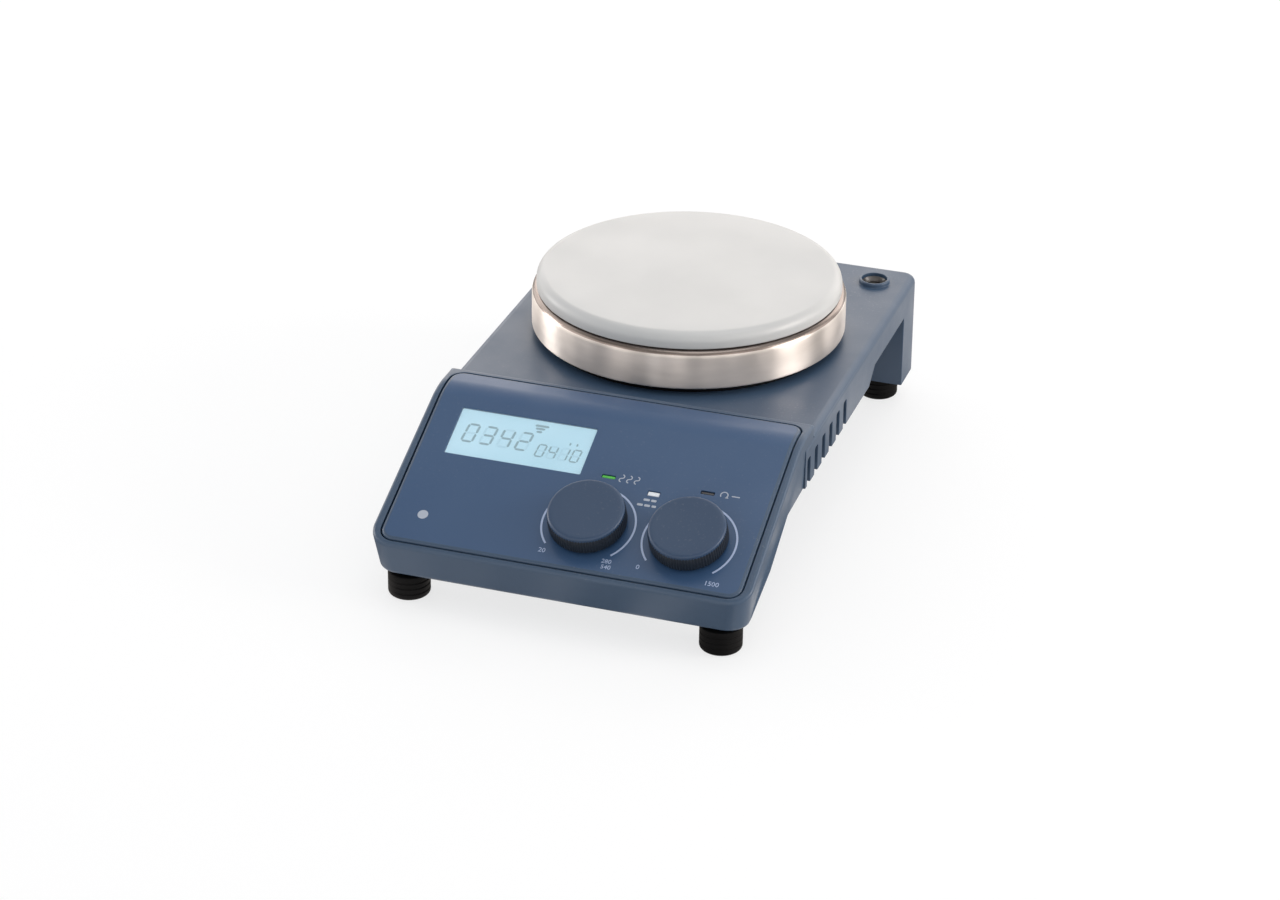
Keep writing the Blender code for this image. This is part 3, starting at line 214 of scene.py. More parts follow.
def studio_world():
    """White backdrop for the camera, a dim even room for its light, and warm uneven walls for reflections."""
    made = bpy.data.worlds.new("studio")
    made.use_nodes = True
    tree = made.node_tree
    room = tree.nodes["Background"]
    room.inputs["Color"].default_value = (0.93, 0.96, 1, 1)
    room.inputs["Strength"].default_value = 0.66
    white = tree.nodes.new("ShaderNodeBackground")
    white.inputs["Color"].default_value = (1, 1, 1, 1)
    walls = tree.nodes.new("ShaderNodeBackground")
    walls.inputs["Color"].default_value = (1, 0.94, 0.89, 1)
    split = tree.nodes.new("ShaderNodeSeparateXYZ")
    tree.links.new(tree.nodes.new("ShaderNodeTexCoord").outputs["Generated"], split.inputs[0])
    around = tree.nodes.new("ShaderNodeCombineXYZ")
    tree.links.new(split.outputs["X"], around.inputs["X"])
    tree.links.new(split.outputs["Y"], around.inputs["Y"])
    patches = tree.nodes.new("ShaderNodeTexNoise")
    patches.inputs["Scale"].default_value = 2.3
    patches.inputs["Detail"].default_value = 1.0
    tree.links.new(around.outputs[0], patches.inputs["Vector"])
    height = remap(tree, split.outputs["Z"], 0.45, 0.8, 1.0, 0.3)
    uneven = remap(tree, patches.outputs["Fac"], 0.38, 0.6, 0.8, 2.1)
    strength = tree.nodes.new("ShaderNodeMath")
    strength.operation = "MULTIPLY"
    tree.links.new(height, strength.inputs[0])
    tree.links.new(uneven, strength.inputs[1])
    tree.links.new(strength.outputs[0], walls.inputs["Strength"])
    ray = tree.nodes.new("ShaderNodeLightPath")
    lit = tree.nodes.new("ShaderNodeMixShader")
    tree.links.new(ray.outputs["Is Glossy Ray"], lit.inputs["Fac"])
    tree.links.new(room.outputs[0], lit.inputs[1])
    tree.links.new(walls.outputs[0], lit.inputs[2])
    seen = tree.nodes.new("ShaderNodeMixShader")
    tree.links.new(ray.outputs["Is Camera Ray"], seen.inputs["Fac"])
    tree.links.new(lit.outputs[0], seen.inputs[1])
    tree.links.new(white.outputs[0], seen.inputs[2])
    tree.links.new(seen.outputs[0], tree.nodes["World Output"].inputs["Surface"])
    return made


bpy.context.scene.world = studio_world()
bpy.context.scene.view_settings.view_transform = "Standard"

# %% [markdown]
# ## Shared surface effects
# A moulded part is never one flat colour: the mould's fine spark texture breaks up the shine, the plastic
# varies a little in tone, and hands polish it unevenly. Each effect is a node group, built once, that gives
# out a height or a mask, so every finish can use it at its own scale. Object coordinates are in metres, so
# a scale of 2000 is a pattern of about half a millimetre.


# %% Node group helpers
def new_group(name, inputs, outputs):
    group = bpy.data.node_groups.new(name, "ShaderNodeTree")
    for label, value in inputs:
        socket = group.interface.new_socket(label, in_out="INPUT", socket_type="NodeSocketFloat")
        socket.default_value = value
    for label in outputs:
        group.interface.new_socket(label, in_out="OUTPUT", socket_type="NodeSocketFloat")
    return group, group.nodes.new("NodeGroupInput"), group.nodes.new("NodeGroupOutput")


def join(tree, source, target):
    tree.links.new(source, target)


def maths(tree, operation, first, second=0.0, clamp=False):
    """Math node with each input a socket or a number; gives back its result."""
    node = tree.nodes.new("ShaderNodeMath")
    node.operation = operation
    node.use_clamp = clamp
    for socket, value in zip(node.inputs, (first, second)):
        if isinstance(value, bpy.types.NodeSocket):
            join(tree, value, socket)
        else:
            socket.default_value = value
    return node.outputs[0]


def noise(tree, where, scale, detail=2.0, roughness=0.5):
    node = tree.nodes.new("ShaderNodeTexNoise")
    node.inputs["Detail"].default_value = detail
    node.inputs["Roughness"].default_value = roughness
    join(tree, where, node.inputs["Vector"])
    if isinstance(scale, bpy.types.NodeSocket):
        join(tree, scale, node.inputs["Scale"])
    else:
        node.inputs["Scale"].default_value = scale
    return node.outputs["Fac"]


def spread(tree, value, low, high):
    """Stretches the range low to high over 0 to 1."""
    node = tree.nodes.new("ShaderNodeMapRange")
    node.inputs["From Min"].default_value = low
    node.inputs["From Max"].default_value = high
    join(tree, value, node.inputs["Value"])
    return node.outputs["Result"]


# %% Moulded texture and handling marks
def moulded_texture_group():
    """Fine spark texture with slow drifts of tone, from its grain size in millimetres."""
    group, given, result = new_group("moulded_texture", [("Grain", 0.5)], ["Height", "Tone"])
    where = group.nodes.new("ShaderNodeTexCoord").outputs["Object"]
    scale = maths(group, "DIVIDE", 1000.0, given.outputs["Grain"])
    pits = group.nodes.new("ShaderNodeTexVoronoi")
    pits.feature = "SMOOTH_F1"
    join(group, where, pits.inputs["Vector"])
    join(group, scale, pits.inputs["Scale"])
    fine = noise(group, where, maths(group, "MULTIPLY", scale, 1.7), 3)
    height = maths(group, "ADD", maths(group, "MULTIPLY", pits.outputs["Distance"], 0.6), fine)
    join(group, height, result.inputs["Height"])
    join(group, spread(group, noise(group, where, 22, 3), 0.3, 0.7), result.inputs["Tone"])
    return group


def handling_group():
    """Uneven polish and a little settled dust, as masks from 0 to 1."""
    group, given, result = new_group("handling", [("Size", 25)], ["Rub", "Dust"])
    where = group.nodes.new("ShaderNodeTexCoord").outputs["Object"]
    scale = maths(group, "DIVIDE", 1000.0, given.outputs["Size"])
    rub = spread(group, noise(group, where, scale, 5, 0.6), 0.35, 0.65)
    specks = spread(group, noise(group, where, 900, 2), 0.62, 0.72)
    drift = spread(group, noise(group, where, 14, 2), 0.4, 0.7)
    facing = group.nodes.new("ShaderNodeNewGeometry").outputs["Normal"]
    split = group.nodes.new("ShaderNodeSeparateXYZ")
    join(group, facing, split.inputs[0])
    upward = maths(group, "MAXIMUM", split.outputs["Z"], 0.0)
    dust = maths(group, "MULTIPLY", maths(group, "MULTIPLY", specks, drift), upward)
    join(group, rub, result.inputs["Rub"])
    join(group, dust, result.inputs["Dust"])
    return group


MOULDED = moulded_texture_group()
HANDLING = handling_group()
print("groups:", [g.name for g in bpy.data.node_groups])


# %% [markdown]
# Turned and polished metal carries fine lines that run round its axis. The lines come from a noise that is
# read in the ring's own terms: stretched along the angle, and fine across height and radius.


# %% Turned lines
def turned_lines_group():
    group, given, result = new_group("turned_lines", [("Centre X", 0), ("Centre Y", 0)], ["Height", "Streak"])
    where = group.nodes.new("ShaderNodeTexCoord").outputs["Object"]
    split = group.nodes.new("ShaderNodeSeparateXYZ")
    join(group, where, split.inputs[0])
    x = maths(group, "SUBTRACT", split.outputs["X"], given.outputs["Centre X"])
    y = maths(group, "SUBTRACT", split.outputs["Y"], given.outputs["Centre Y"])
    angle = maths(group, "ARCTAN2", y, x)
    square = maths(group, "ADD", maths(group, "MULTIPLY", x, x), maths(group, "MULTIPLY", y, y))
    radius = maths(group, "SQRT", square)
    across = group.nodes.new("ShaderNodeCombineXYZ")
    join(group, maths(group, "MULTIPLY", angle, 0.9), across.inputs["X"])
    join(group, maths(group, "MULTIPLY", split.outputs["Z"], 2600.0), across.inputs["Y"])
    join(group, maths(group, "MULTIPLY", radius, 2600.0), across.inputs["Z"])
    lines = noise(group, across.outputs[0], 1.0, 3)
    soft = group.nodes.new("ShaderNodeCombineXYZ")
    join(group, maths(group, "SINE", angle), soft.inputs["X"])
    join(group, maths(group, "COSINE", angle), soft.inputs["Y"])
    join(group, maths(group, "MULTIPLY", split.outputs["Z"], 60.0), soft.inputs["Z"])
    join(group, lines, result.inputs["Height"])
    join(group, spread(group, noise(group, soft.outputs[0], 2.2, 3), 0.35, 0.7), result.inputs["Streak"])
    return group


TURNED = turned_lines_group()


# %% [markdown]
# ## Finishes
# Every finish starts from the same small recipe: a Principled shader, a base colour that drifts between two
# tones, a roughness that follows the handling mask, and a bump from the surface's own texture. Numbers that
# are the same all over stay on the shader's own sockets.


# %% Recipe for a finish
def use_group(tree, group, **values):
    node = tree.nodes.new("ShaderNodeGroup")
    node.node_tree = group
    for label, value in values.items():
        node.inputs[label.replace("_", " ")].default_value = value
    return node


def mix_colours(tree, mask, first, second):
    node = tree.nodes.new("ShaderNodeMix")
    node.data_type = "RGBA"
    for label, colour in (("A", first), ("B", second)):
        socket = [s for s in node.inputs if s.name == label and s.type == "RGBA"][0]
        if isinstance(colour, bpy.types.NodeSocket):
            join(tree, colour, socket)
        else:
            socket.default_value = (*colour, 1)
    join(tree, mask, node.inputs["Factor"])
    return [s for s in node.outputs if s.type == "RGBA"][0]


def bump(tree, shader, height, strength, distance):
    node = tree.nodes.new("ShaderNodeBump")
    node.inputs["Strength"].default_value = strength
    node.inputs["Distance"].default_value = distance
    join(tree, height, node.inputs["Height"])
    join(tree, node.outputs["Normal"], shader.inputs["Normal"])


def started(name, metallic=0.0, coat=0.0):
    made = bpy.data.materials.new(name)
    made.use_nodes = True
    shader = made.node_tree.nodes["Principled BSDF"]
    shader.inputs["Metallic"].default_value = metallic
    shader.inputs["Coat Weight"].default_value = coat
    shader.inputs["Coat Roughness"].default_value = 0.08
    return made, made.node_tree, shader


def rough_between(tree, shader, mask, low, high):
    node = tree.nodes.new("ShaderNodeMapRange")
    node.inputs["To Min"].default_value = low
    node.inputs["To Max"].default_value = high
    join(tree, mask, node.inputs["Value"])
    join(tree, node.outputs["Result"], shader.inputs["Roughness"])


def moulded(name, colour, other, grain, rough, depth, dust=0.25, coat=0.0, shine=0.5):
    """Moulded plastic or rubber: two near tones, a spark texture, and a roughness between two values."""
    made, tree, shader = started(name, coat=coat)
    shader.inputs["Specular IOR Level"].default_value = shine
    texture = use_group(tree, MOULDED, Grain=grain)
    handling = use_group(tree, HANDLING)
    base = mix_colours(tree, texture.outputs["Tone"], colour, other)
    settled = maths(tree, "MULTIPLY", handling.outputs["Dust"], dust)
    pale = tuple(0.5 * c + 0.25 for c in colour)
    join(tree, mix_colours(tree, settled, base, pale), shader.inputs["Base Color"])
    rough_between(tree, shader, handling.outputs["Rub"], *rough)
    bump(tree, shader, texture.outputs["Height"], 0.35, depth)
    return made


def metal(name, colour, other, rough, strength=0.05, stretch=0.0):
    """Turned or polished metal; fine turned lines stretch its reflections across themselves."""
    made, tree, shader = started(name, metallic=1.0)
    if stretch:
        shader.inputs["Anisotropic"].default_value = stretch
        shader.inputs["Anisotropic Rotation"].default_value = 0.25
        around = tree.nodes.new("ShaderNodeTangent")
        around.direction_type = "UV_MAP"
        join(tree, around.outputs["Tangent"], shader.inputs["Tangent"])
    lines = use_group(tree, TURNED, Centre_X=PLATE.x, Centre_Y=PLATE.y)
    join(tree, mix_colours(tree, lines.outputs["Streak"], colour, other), shader.inputs["Base Color"])
    rough_between(tree, shader, lines.outputs["Streak"], *rough)
    bump(tree, shader, lines.outputs["Height"], strength, 0.02 * MM)
    return made


# %% Finishes of this stirrer
CASE_PLASTIC = moulded(
    "case_plastic", (0.047, 0.085, 0.145), (0.053, 0.092, 0.152),
    0.45, (0.34, 0.44), 0.02 * MM,
)
PANEL_FILM = moulded(
    "panel_film", (0.036, 0.086, 0.185), (0.041, 0.093, 0.192),
    0.25, (0.3, 0.4), 0.008 * MM, 0.12,
)
KNOB_PLASTIC = moulded(
    "knob_plastic", (0.024, 0.056, 0.118), (0.030, 0.063, 0.125),
    0.35, (0.36, 0.46), 0.015 * MM,
)
# Near-black finish for the knob's ribbed side: painted shade, darker than the knob top's plastic.
RIB_PAINTED_SHADE_PLASTIC = moulded(
    "knob_rib_painted_shade", (0.010, 0.015, 0.024), (0.014, 0.02, 0.03),
    0.35, (0.38, 0.5), 0.015 * MM,
)
RUBBER = moulded(
    "foot_rubber", (0.002, 0.002, 0.0022), (0.004, 0.004, 0.0045),
    0.8, (0.5, 0.7), 0.03 * MM, 0.1, shine=0.12,
)
SEAL_RUBBER = moulded(
    "seal_rubber", (0.002, 0.002, 0.0025), (0.004, 0.004, 0.005),
    0.5, (0.6, 0.8), 0.02 * MM, 0.05, shine=0.12,
)
BLACK_PLASTIC = moulded(
    "black_plastic", (0.008, 0.008, 0.009), (0.013, 0.013, 0.014),
    0.5, (0.35, 0.5), 0.02 * MM,
)
WHITE_ENAMEL = moulded(
    "white_enamel", (0.575, 0.575, 0.565), (0.60, 0.60, 0.592),
    1.2, (0.3, 0.42), 0.01 * MM, 0.02,
)
POLISHED_STEEL = metal("polished_steel", (0.70, 0.655, 0.62), (0.80, 0.755, 0.72), (0.34, 0.4), 0.03, 0.97)
# Darker brownish steel for the upward-facing top of the ring's roll: painted shade and painted dark
# reflection.
SHOULDER_SHADE_STEEL = metal("shoulder_painted_shade", (0.24, 0.20, 0.185), (0.34, 0.30, 0.28), (0.2, 0.26), 0.05, 0.6)
PLAIN_STEEL = metal("plain_steel", (0.48, 0.49, 0.5), (0.58, 0.58, 0.58), (0.3, 0.45))
# Near-black steel for the rod bush: painted shade inside the hole, on top of the real shade of its deep
# recess.
BORE_SHADE_STEEL = metal("bore_painted_shade_steel", (0.08, 0.08, 0.085), (0.15, 0.15, 0.15), (0.3, 0.5), 0.2)
ALUMINIUM = metal("turned_aluminium", (0.6, 0.6, 0.61), (0.68, 0.68, 0.68), (0.3, 0.42))
CAST_METAL = metal("cast_metal", (0.2, 0.19, 0.18), (0.28, 0.27, 0.26), (0.5, 0.65), 0.3)
MAGNET_METAL = metal("magnet_plating", (0.36, 0.36, 0.38), (0.44, 0.44, 0.45), (0.2, 0.3))
FIBRE = moulded("ceramic_fibre", (0.62, 0.57, 0.48), (0.7, 0.66, 0.57), 1.5, (0.85, 0.95), 0.2 * MM, 0)
BOARD = moulded("circuit_board", (0.010, 0.075, 0.03), (0.014, 0.095, 0.04), 0.9, (0.3, 0.45), 0.02 * MM, 0.1)
PRINT = moulded("panel_print", (0.42, 0.51, 0.72), (0.46, 0.55, 0.75), 0.3, (0.45, 0.55), 0.004 * MM, 0)
PALE_PRINT = moulded("pale_print", (0.42, 0.46, 0.54), (0.47, 0.51, 0.58), 0.3, (0.45, 0.55), 0.004 * MM, 0)
print("finishes:", len(bpy.data.materials))

# %% [markdown]
# The display and the lamps give out a little light of their own, so their shaders have an emission. The
# window over the display is clear, and a low alpha lets its cell be seen while the gloss stays.


# %% Display and lamp finishes
def glowing(name, colour, other, glow, rough=(0.15, 0.25)):
    """Lit plastic whose light follows its own colour."""
    made, tree, shader = started(name, coat=0.3)
    texture = use_group(tree, MOULDED, Grain=2.5)
    colours = mix_colours(tree, texture.outputs["Tone"], colour, other)
    join(tree, colours, shader.inputs["Base Color"])
    join(tree, colours, shader.inputs["Emission Color"])
    shader.inputs["Emission Strength"].default_value = glow
    rough_between(tree, shader, use_group(tree, HANDLING).outputs["Rub"], *rough)
    return made


def clear_window():
    made, tree, shader = started("clear_window", coat=0.6)
    shader.inputs["Base Color"].default_value = (0.8, 0.92, 0.96, 1)
    shader.inputs["Alpha"].default_value = 0.1
    rough_between(tree, shader, use_group(tree, HANDLING).outputs["Rub"], 0.04, 0.1)
    return made


DISPLAY_GLOW = glowing("display_glow", (0.33, 0.54, 0.64), (0.40, 0.60, 0.70), 0.42)
DISPLAY_DARK = glowing("display_segments", (0.17, 0.29, 0.34), (0.20, 0.32, 0.37), 0.25)
DISPLAY_GHOST = glowing("display_ghost", (0.31, 0.50, 0.60), (0.36, 0.55, 0.65), 0.38)
GREEN_LAMP = glowing("green_lamp", (0.04, 0.33, 0.03), (0.07, 0.42, 0.05), 0.35)
DARK_LAMP = glowing("dark_lamp", (0.012, 0.014, 0.02), (0.02, 0.02, 0.028), 0.0)
WHITE_LAMP = glowing("white_lamp", (0.72, 0.74, 0.78), (0.8, 0.82, 0.85), 0.1)
CLEAR = clear_window()
print("lit finishes:", DISPLAY_GLOW.name, GREEN_LAMP.name)


# %% [markdown]
# ## Modelling helpers
# Three ways cover nearly every piece. A slab is a flat outline pushed out, for anything that has a side view.
# A turned piece is a profile spun round an axis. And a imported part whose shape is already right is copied,
# its triangles are merged back into whole faces, and its corners are bevelled so that they catch the light.


# %% Outlines
def arc(cx, cy, radius, start, end, steps=8):
    """Points along an arc, with angles in degrees."""
    angles = [math.radians(start + (end - start) * i / steps) for i in range(steps + 1)]
    return [(cx + radius * math.cos(a), cy + radius * math.sin(a)) for a in angles]


def rounded(width, height, radius, cx=0.0, cy=0.0, steps=6):
    x = width / 2 - radius
    y = height / 2 - radius
    corners = ((x, y, 0), (-x, y, 90), (-x, -y, 180), (x, -y, 270))
    return [p for a, b, start in corners for p in arc(cx + a, cy + b, radius, start, start + 90, steps)]


def slab(points, place, depth, bm=None):
    """Outline on the XY plane of place, pushed out along its Z by depth, into a new or a given bmesh."""
    bm = bm or bmesh.new()
    face = bm.faces.new([bm.verts.new(place @ Vector((u, v, 0))) for u, v in points])
    grown = bmesh.ops.extrude_face_region(bm, geom=[face])["geom"]
    push = place.to_3x3() @ Vector((0, 0, depth))
    bmesh.ops.translate(bm, vec=push, verts=[v for v in grown if isinstance(v, bmesh.types.BMVert)])
    bmesh.ops.recalc_face_normals(bm, faces=bm.faces)
    return bm


def round_off(bm, edges, radius, segments):
    """Rounds the given edges; the operator's own defaults differ, so all of them are given."""
    made = bmesh.ops.bevel(
        bm, geom=list(edges), offset=radius, offset_type="OFFSET", segments=segments, profile=0.5,
        affect="EDGES", clamp_overlap=False, material=-1,
    )
    return made["faces"]


def edge_faces(edge):
    return [face.normal for face in edge.link_faces]


def leans(edge):
    """Lowest and highest lean of the faces on an edge: 1 faces up, 0 is upright, -1 faces down."""
    heights = [normal.z for normal in edge_faces(edge)]
    return min(heights), max(heights)


def sharp_edges(bm, degrees=32):
    limit = math.radians(degrees)
    return [e for e in bm.edges if len(e.link_faces) == 2 and e.calc_face_angle(0.0) > limit]


# %% From bmesh to a piece
def as_piece(name, bm, finish, body=None, sharp=38):
    """Makes the object, smooths it up to the given angle, and lets it ride on its body."""
    mesh = bpy.data.meshes.new(name)
    bm.to_mesh(mesh)
    bm.free()
    mesh.materials.append(finish)
    mesh.shade_smooth()
    mesh.set_sharp_from_angle(angle=math.radians(sharp))
    piece = bpy.data.objects.new(name, mesh)
    bpy.context.scene.collection.objects.link(piece)
    if body:
        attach(piece, body)
    return piece


def even_shading(piece):
    """Weights the normals by face size, so that large flat faces stay flat beside small fillets."""
    weighted = piece.modifiers.new("even_shading", "WEIGHTED_NORMAL")
    weighted.keep_sharp = True
    weighted.weight = 90
    return piece


def boolean(base, tool, operation):
    """Joins or cuts base with tool, keeps the result as base's mesh, and removes the tool."""
    step = base.modifiers.new("shape", "BOOLEAN")
    step.operation = operation
    step.solver = "EXACT"
    step.object = tool
    bpy.context.view_layer.update()
    shaped = base.evaluated_get(bpy.context.evaluated_depsgraph_get())
    mesh = bpy.data.meshes.new_from_object(shaped)
    base.modifiers.clear()
    base.data = mesh
    bpy.data.objects.remove(tool)
    return base


def turned(profile, centre=(0, 0, 0), steps=96, place=None):
    """Profile of (radius, height) points, spun a full turn about an upright axis through centre."""
    bm = bmesh.new()
    corners = [bm.verts.new((radius, 0, height)) for radius, height in profile]
    pairs = list(zip(corners, corners[1:]))
    if profile[0][0] > 0 or profile[-1][0] > 0:
        pairs.append((corners[-1], corners[0]))
    edges = [bm.edges.new(pair) for pair in pairs]
    bmesh.ops.spin(
        bm, geom=corners + edges, cent=(0, 0, 0), axis=(0, 0, 1), angle=math.tau, steps=steps, use_merge=True
    )
    bmesh.ops.remove_doubles(bm, verts=bm.verts, dist=1e-6)
    bmesh.ops.recalc_face_normals(bm, faces=bm.faces)
    bmesh.ops.transform(bm, matrix=place or Matrix.Translation(centre), verts=bm.verts)
    return bm


def softened(node, finish, radius, name=None, segments=2):
    """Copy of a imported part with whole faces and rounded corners, which stands for that part."""
    bm = bmesh.new()
    bm.from_mesh(frame["nodes"][node].data)
    bmesh.ops.remove_doubles(bm, verts=bm.verts, dist=1e-6)
    bmesh.ops.dissolve_limit(bm, angle_limit=math.radians(1), verts=bm.verts, edges=bm.edges)
    round_off(bm, sharp_edges(bm), radius, segments)
    piece = even_shading(as_piece(name or node + "_soft", bm, finish, frame["nodes"][node]["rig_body"]))
    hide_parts(node)
    return piece


# %% [markdown]
# ## The casing
# The upper shell is one moulding: a wedge at the front that carries the panel, a level deck behind it, and
# two legs at the rear corners. Fillets of different sizes meet here, and a bevel works best on simple solids,
# so the wedge and the deck are rounded while each is still a plain block. Booleans then join them, cut the
# side view's lower edge, hollow the shell, and open the vents. A last small bevel takes every sharp edge off.

# %% Casing sizes
SKIRT_BOTTOM_Z = 12 * MM
SKIRT_TAPER = 2.5 * MM
DRAFT = 1 * MM
WALL = 2.5 * MM
SILL_Z = 37.5 * MM
ARCH_Z = 44 * MM
LEG_DEPTH = 23 * MM
LEG_WIDTH = 21.5 * MM
PANEL_RIM = 3.4 * MM
FRONT_RIM = 2.1 * MM
PANEL_TOP = 0.4 * MM
BEND_R = 14 * MM


def half_width(z):
    """Half the casing's width at a height: the skirt leans in below, and the walls have draft above."""
    if z < FRONT_LINE_Z:
        return HALF - SKIRT_TAPER * (FRONT_LINE_Z - z) / (FRONT_LINE_Z - SKIRT_BOTTOM_Z)
    return HALF - DRAFT * (z - FRONT_LINE_Z) / (BLOCK_Z - FRONT_LINE_Z)


def side_solid(outline):
    """Solid with the given side view whose width follows half_width."""
    bm = slab([(y, z) for y, z in outline], SIDE_VIEW @ Matrix.Translation((0, 0, -1)), 2)
    for vert in bm.verts:
        vert.co.x *= half_width(vert.co.z)
    bmesh.ops.recalc_face_normals(bm, faces=bm.faces)
    return bm


# %% Front block and deck
def upright(bm, low_y, high_y):
    """Upright corner edges between two depths."""
    edges = [e for e in bm.edges if all(low_y < v.co.y < high_y for v in e.verts)]
    edges = [e for e in edges if e.verts[0].co.x * e.verts[1].co.x > 0]
    return [e for e in edges if abs(e.verts[0].co.z - e.verts[1].co.z) > MM]


def front_block():
    bm = side_solid([
        (FRONT + SKIRT_TAPER, SKIRT_BOTTOM_Z),
        (FRONT, FRONT_LINE_Z),
        (CREASE_Y, BLOCK_Z),
        (STEP_Y, BLOCK_Z),
        (STEP_Y + 0.8 * MM, SKIRT_BOTTOM_Z),
    ])
    round_off(bm, upright(bm, FRONT - MM, FRONT + 5 * MM), 9 * MM, 10)
    crease = [e for e in bm.edges if all(v.co.z > BLOCK_Z - GAP for v in e.verts)]
    crease = [e for e in crease if all(abs(v.co.y - CREASE_Y) < GAP for v in e.verts)]
    round_off(bm, crease, 2 * BEND_R * math.tan(SLOPE / 2), 6)
    rim = [e for e in bm.edges if leans(e)[1] > 0.3 and leans(e)[0] < 0.25]
    rim = [e for e in rim if max(n.y for n in edge_faces(e)) < 0.5]
    round_off(bm, rim, 1.8 * MM, 6)
    lowest = [e for e in bm.edges if leans(e)[0] < -0.9 and leans(e)[1] > -0.5]
    round_off(bm, [e for e in lowest if max(n.y for n in edge_faces(e)) < 0.5], 2 * MM, 4)
    back = [e for e in bm.edges if all(v.co.z > BLOCK_Z - GAP and v.co.y > STEP_Y - GAP for v in e.verts)]
    round_off(bm, back, 1.2 * MM, 4)
    return bm


def deck_block():
    low = SKIRT_BOTTOM_Z - 6 * MM
    bm = side_solid([(STEP_Y - 12 * MM, low), (STEP_Y - 12 * MM, DECK_Z), (REAR, DECK_Z), (REAR, low)])
    for vert in bm.verts:
        vert.co.x = math.copysign(half_width(max(vert.co.z, ARCH_Z)), vert.co.x)
    round_off(bm, upright(bm, REAR - MM, REAR + MM), 6 * MM, 8)
    top = [e for e in bm.edges if leans(e)[1] > 0.9 and abs(leans(e)[0]) < 0.3]
    round_off(bm, [e for e in top if min(n.y for n in edge_faces(e)) > -0.5], 3.4 * MM, 6)
    return bm


casing = as_piece("casing_shell", front_block(), CASE_PLASTIC)
boolean(casing, as_piece("deck_block", deck_block(), CASE_PLASTIC), "UNION")
print("block and deck joined:", len(casing.data.polygons), "faces")


# %% [markdown]
# The lower edge of the side wall rises from the skirt to a sill, steps up ahead of the rear leg, and comes
# down again as the leg. One side outline keeps what lies above that line. The room inside follows the same
# side view a wall's thickness further in, and is open underneath, where the base cover goes. Seen from above,
# its outline goes round the two legs, so each leg is part of the same moulding.


# %% Lower edge, room inside, legs
def kept_above():
    return slab([
        (FRONT - 20 * MM, 0.12),
        (FRONT - 20 * MM, 5 * MM),
        (FRONT + 11.5 * MM, 5 * MM),
        (FRONT + 11.5 * MM, SKIRT_BOTTOM_Z),
        (FRONT + 58 * MM, SILL_Z),
        (FRONT + 182 * MM, SILL_Z),
        (FRONT + 191 * MM, ARCH_Z),
        (REAR - LEG_DEPTH, ARCH_Z),
        (REAR - LEG_DEPTH, 11 * MM),
        (REAR - 4 * MM, 11 * MM),
        (REAR, 17 * MM),
        (REAR + 20 * MM, 17 * MM),
        (REAR + 20 * MM, 0.12),
    ], SIDE_VIEW @ Matrix.Translation((0, 0, -0.1)), 0.2)


LEG_X = HALF - 1 * MM - LEG_WIDTH


def room():
    """Space inside: the side view a wall further in, kept to a plan that leaves the rear legs standing."""
    slope_drop = WALL * (1 / math.cos(SLOPE) - math.tan(SLOPE))
    beyond = 5 * MM
    seen_from_side = [
        (FRONT - beyond, -0.02),
        (FRONT - beyond, FRONT_LINE_Z - slope_drop - (beyond + WALL) * math.tan(SLOPE)),
        (CREASE_Y + WALL * math.tan(SLOPE / 2), BLOCK_Z - WALL),
        (STEP_Y - WALL, BLOCK_Z - WALL),
        (STEP_Y - WALL + 1 * MM, DECK_Z - WALL),
        (REAR + beyond, DECK_Z - WALL),
        (REAR + beyond, -0.02),
    ]
    half = HALF - 2 * WALL
    front = FRONT + WALL + SKIRT_TAPER
    corner = 5 * MM
    plan = [
        *arc(corner - half, front + corner, corner, 180, 270, 4),
        *arc(half - corner, front + corner, corner, 270, 360, 4),
        (half, REAR - LEG_DEPTH),
        (LEG_X, REAR - LEG_DEPTH),
        (LEG_X, REAR - WALL),
        (-LEG_X, REAR - WALL),
        (-LEG_X, REAR - LEG_DEPTH),
        (-half, REAR - LEG_DEPTH),
    ]
    side = slab(seen_from_side, SIDE_VIEW @ Matrix.Translation((0, 0, -HALF)), 2 * HALF)
    inside = as_piece("room", side, CASE_PLASTIC)
    seen_from_above = slab(plan, Matrix.Translation((0, 0, -0.1)), 0.2)
    return boolean(inside, as_piece("room_plan", seen_from_above, CASE_PLASTIC), "INTERSECT")


boolean(casing, as_piece("kept_above", kept_above(), CASE_PLASTIC), "INTERSECT")
boolean(casing, room(), "DIFFERENCE")
boolean(casing, as_piece("between_legs", slab(
    [(PLATE.y, 0), (REAR + 9 * MM, 0), (REAR + 9 * MM, 17 * MM), (PLATE.y, 17 * MM)],
    SIDE_VIEW @ Matrix.Translation((0, 0, -LEG_X)), 2 * LEG_X,
), CASE_PLASTIC), "DIFFERENCE")
print("shell with legs:", len(casing.data.polygons), "faces")


# %% [markdown]
# The panel lies in an opening that follows the slope and its bend. The same bent plate, a little larger, is
# the tool that cuts the opening, so the seam round the panel has the same width everywhere.


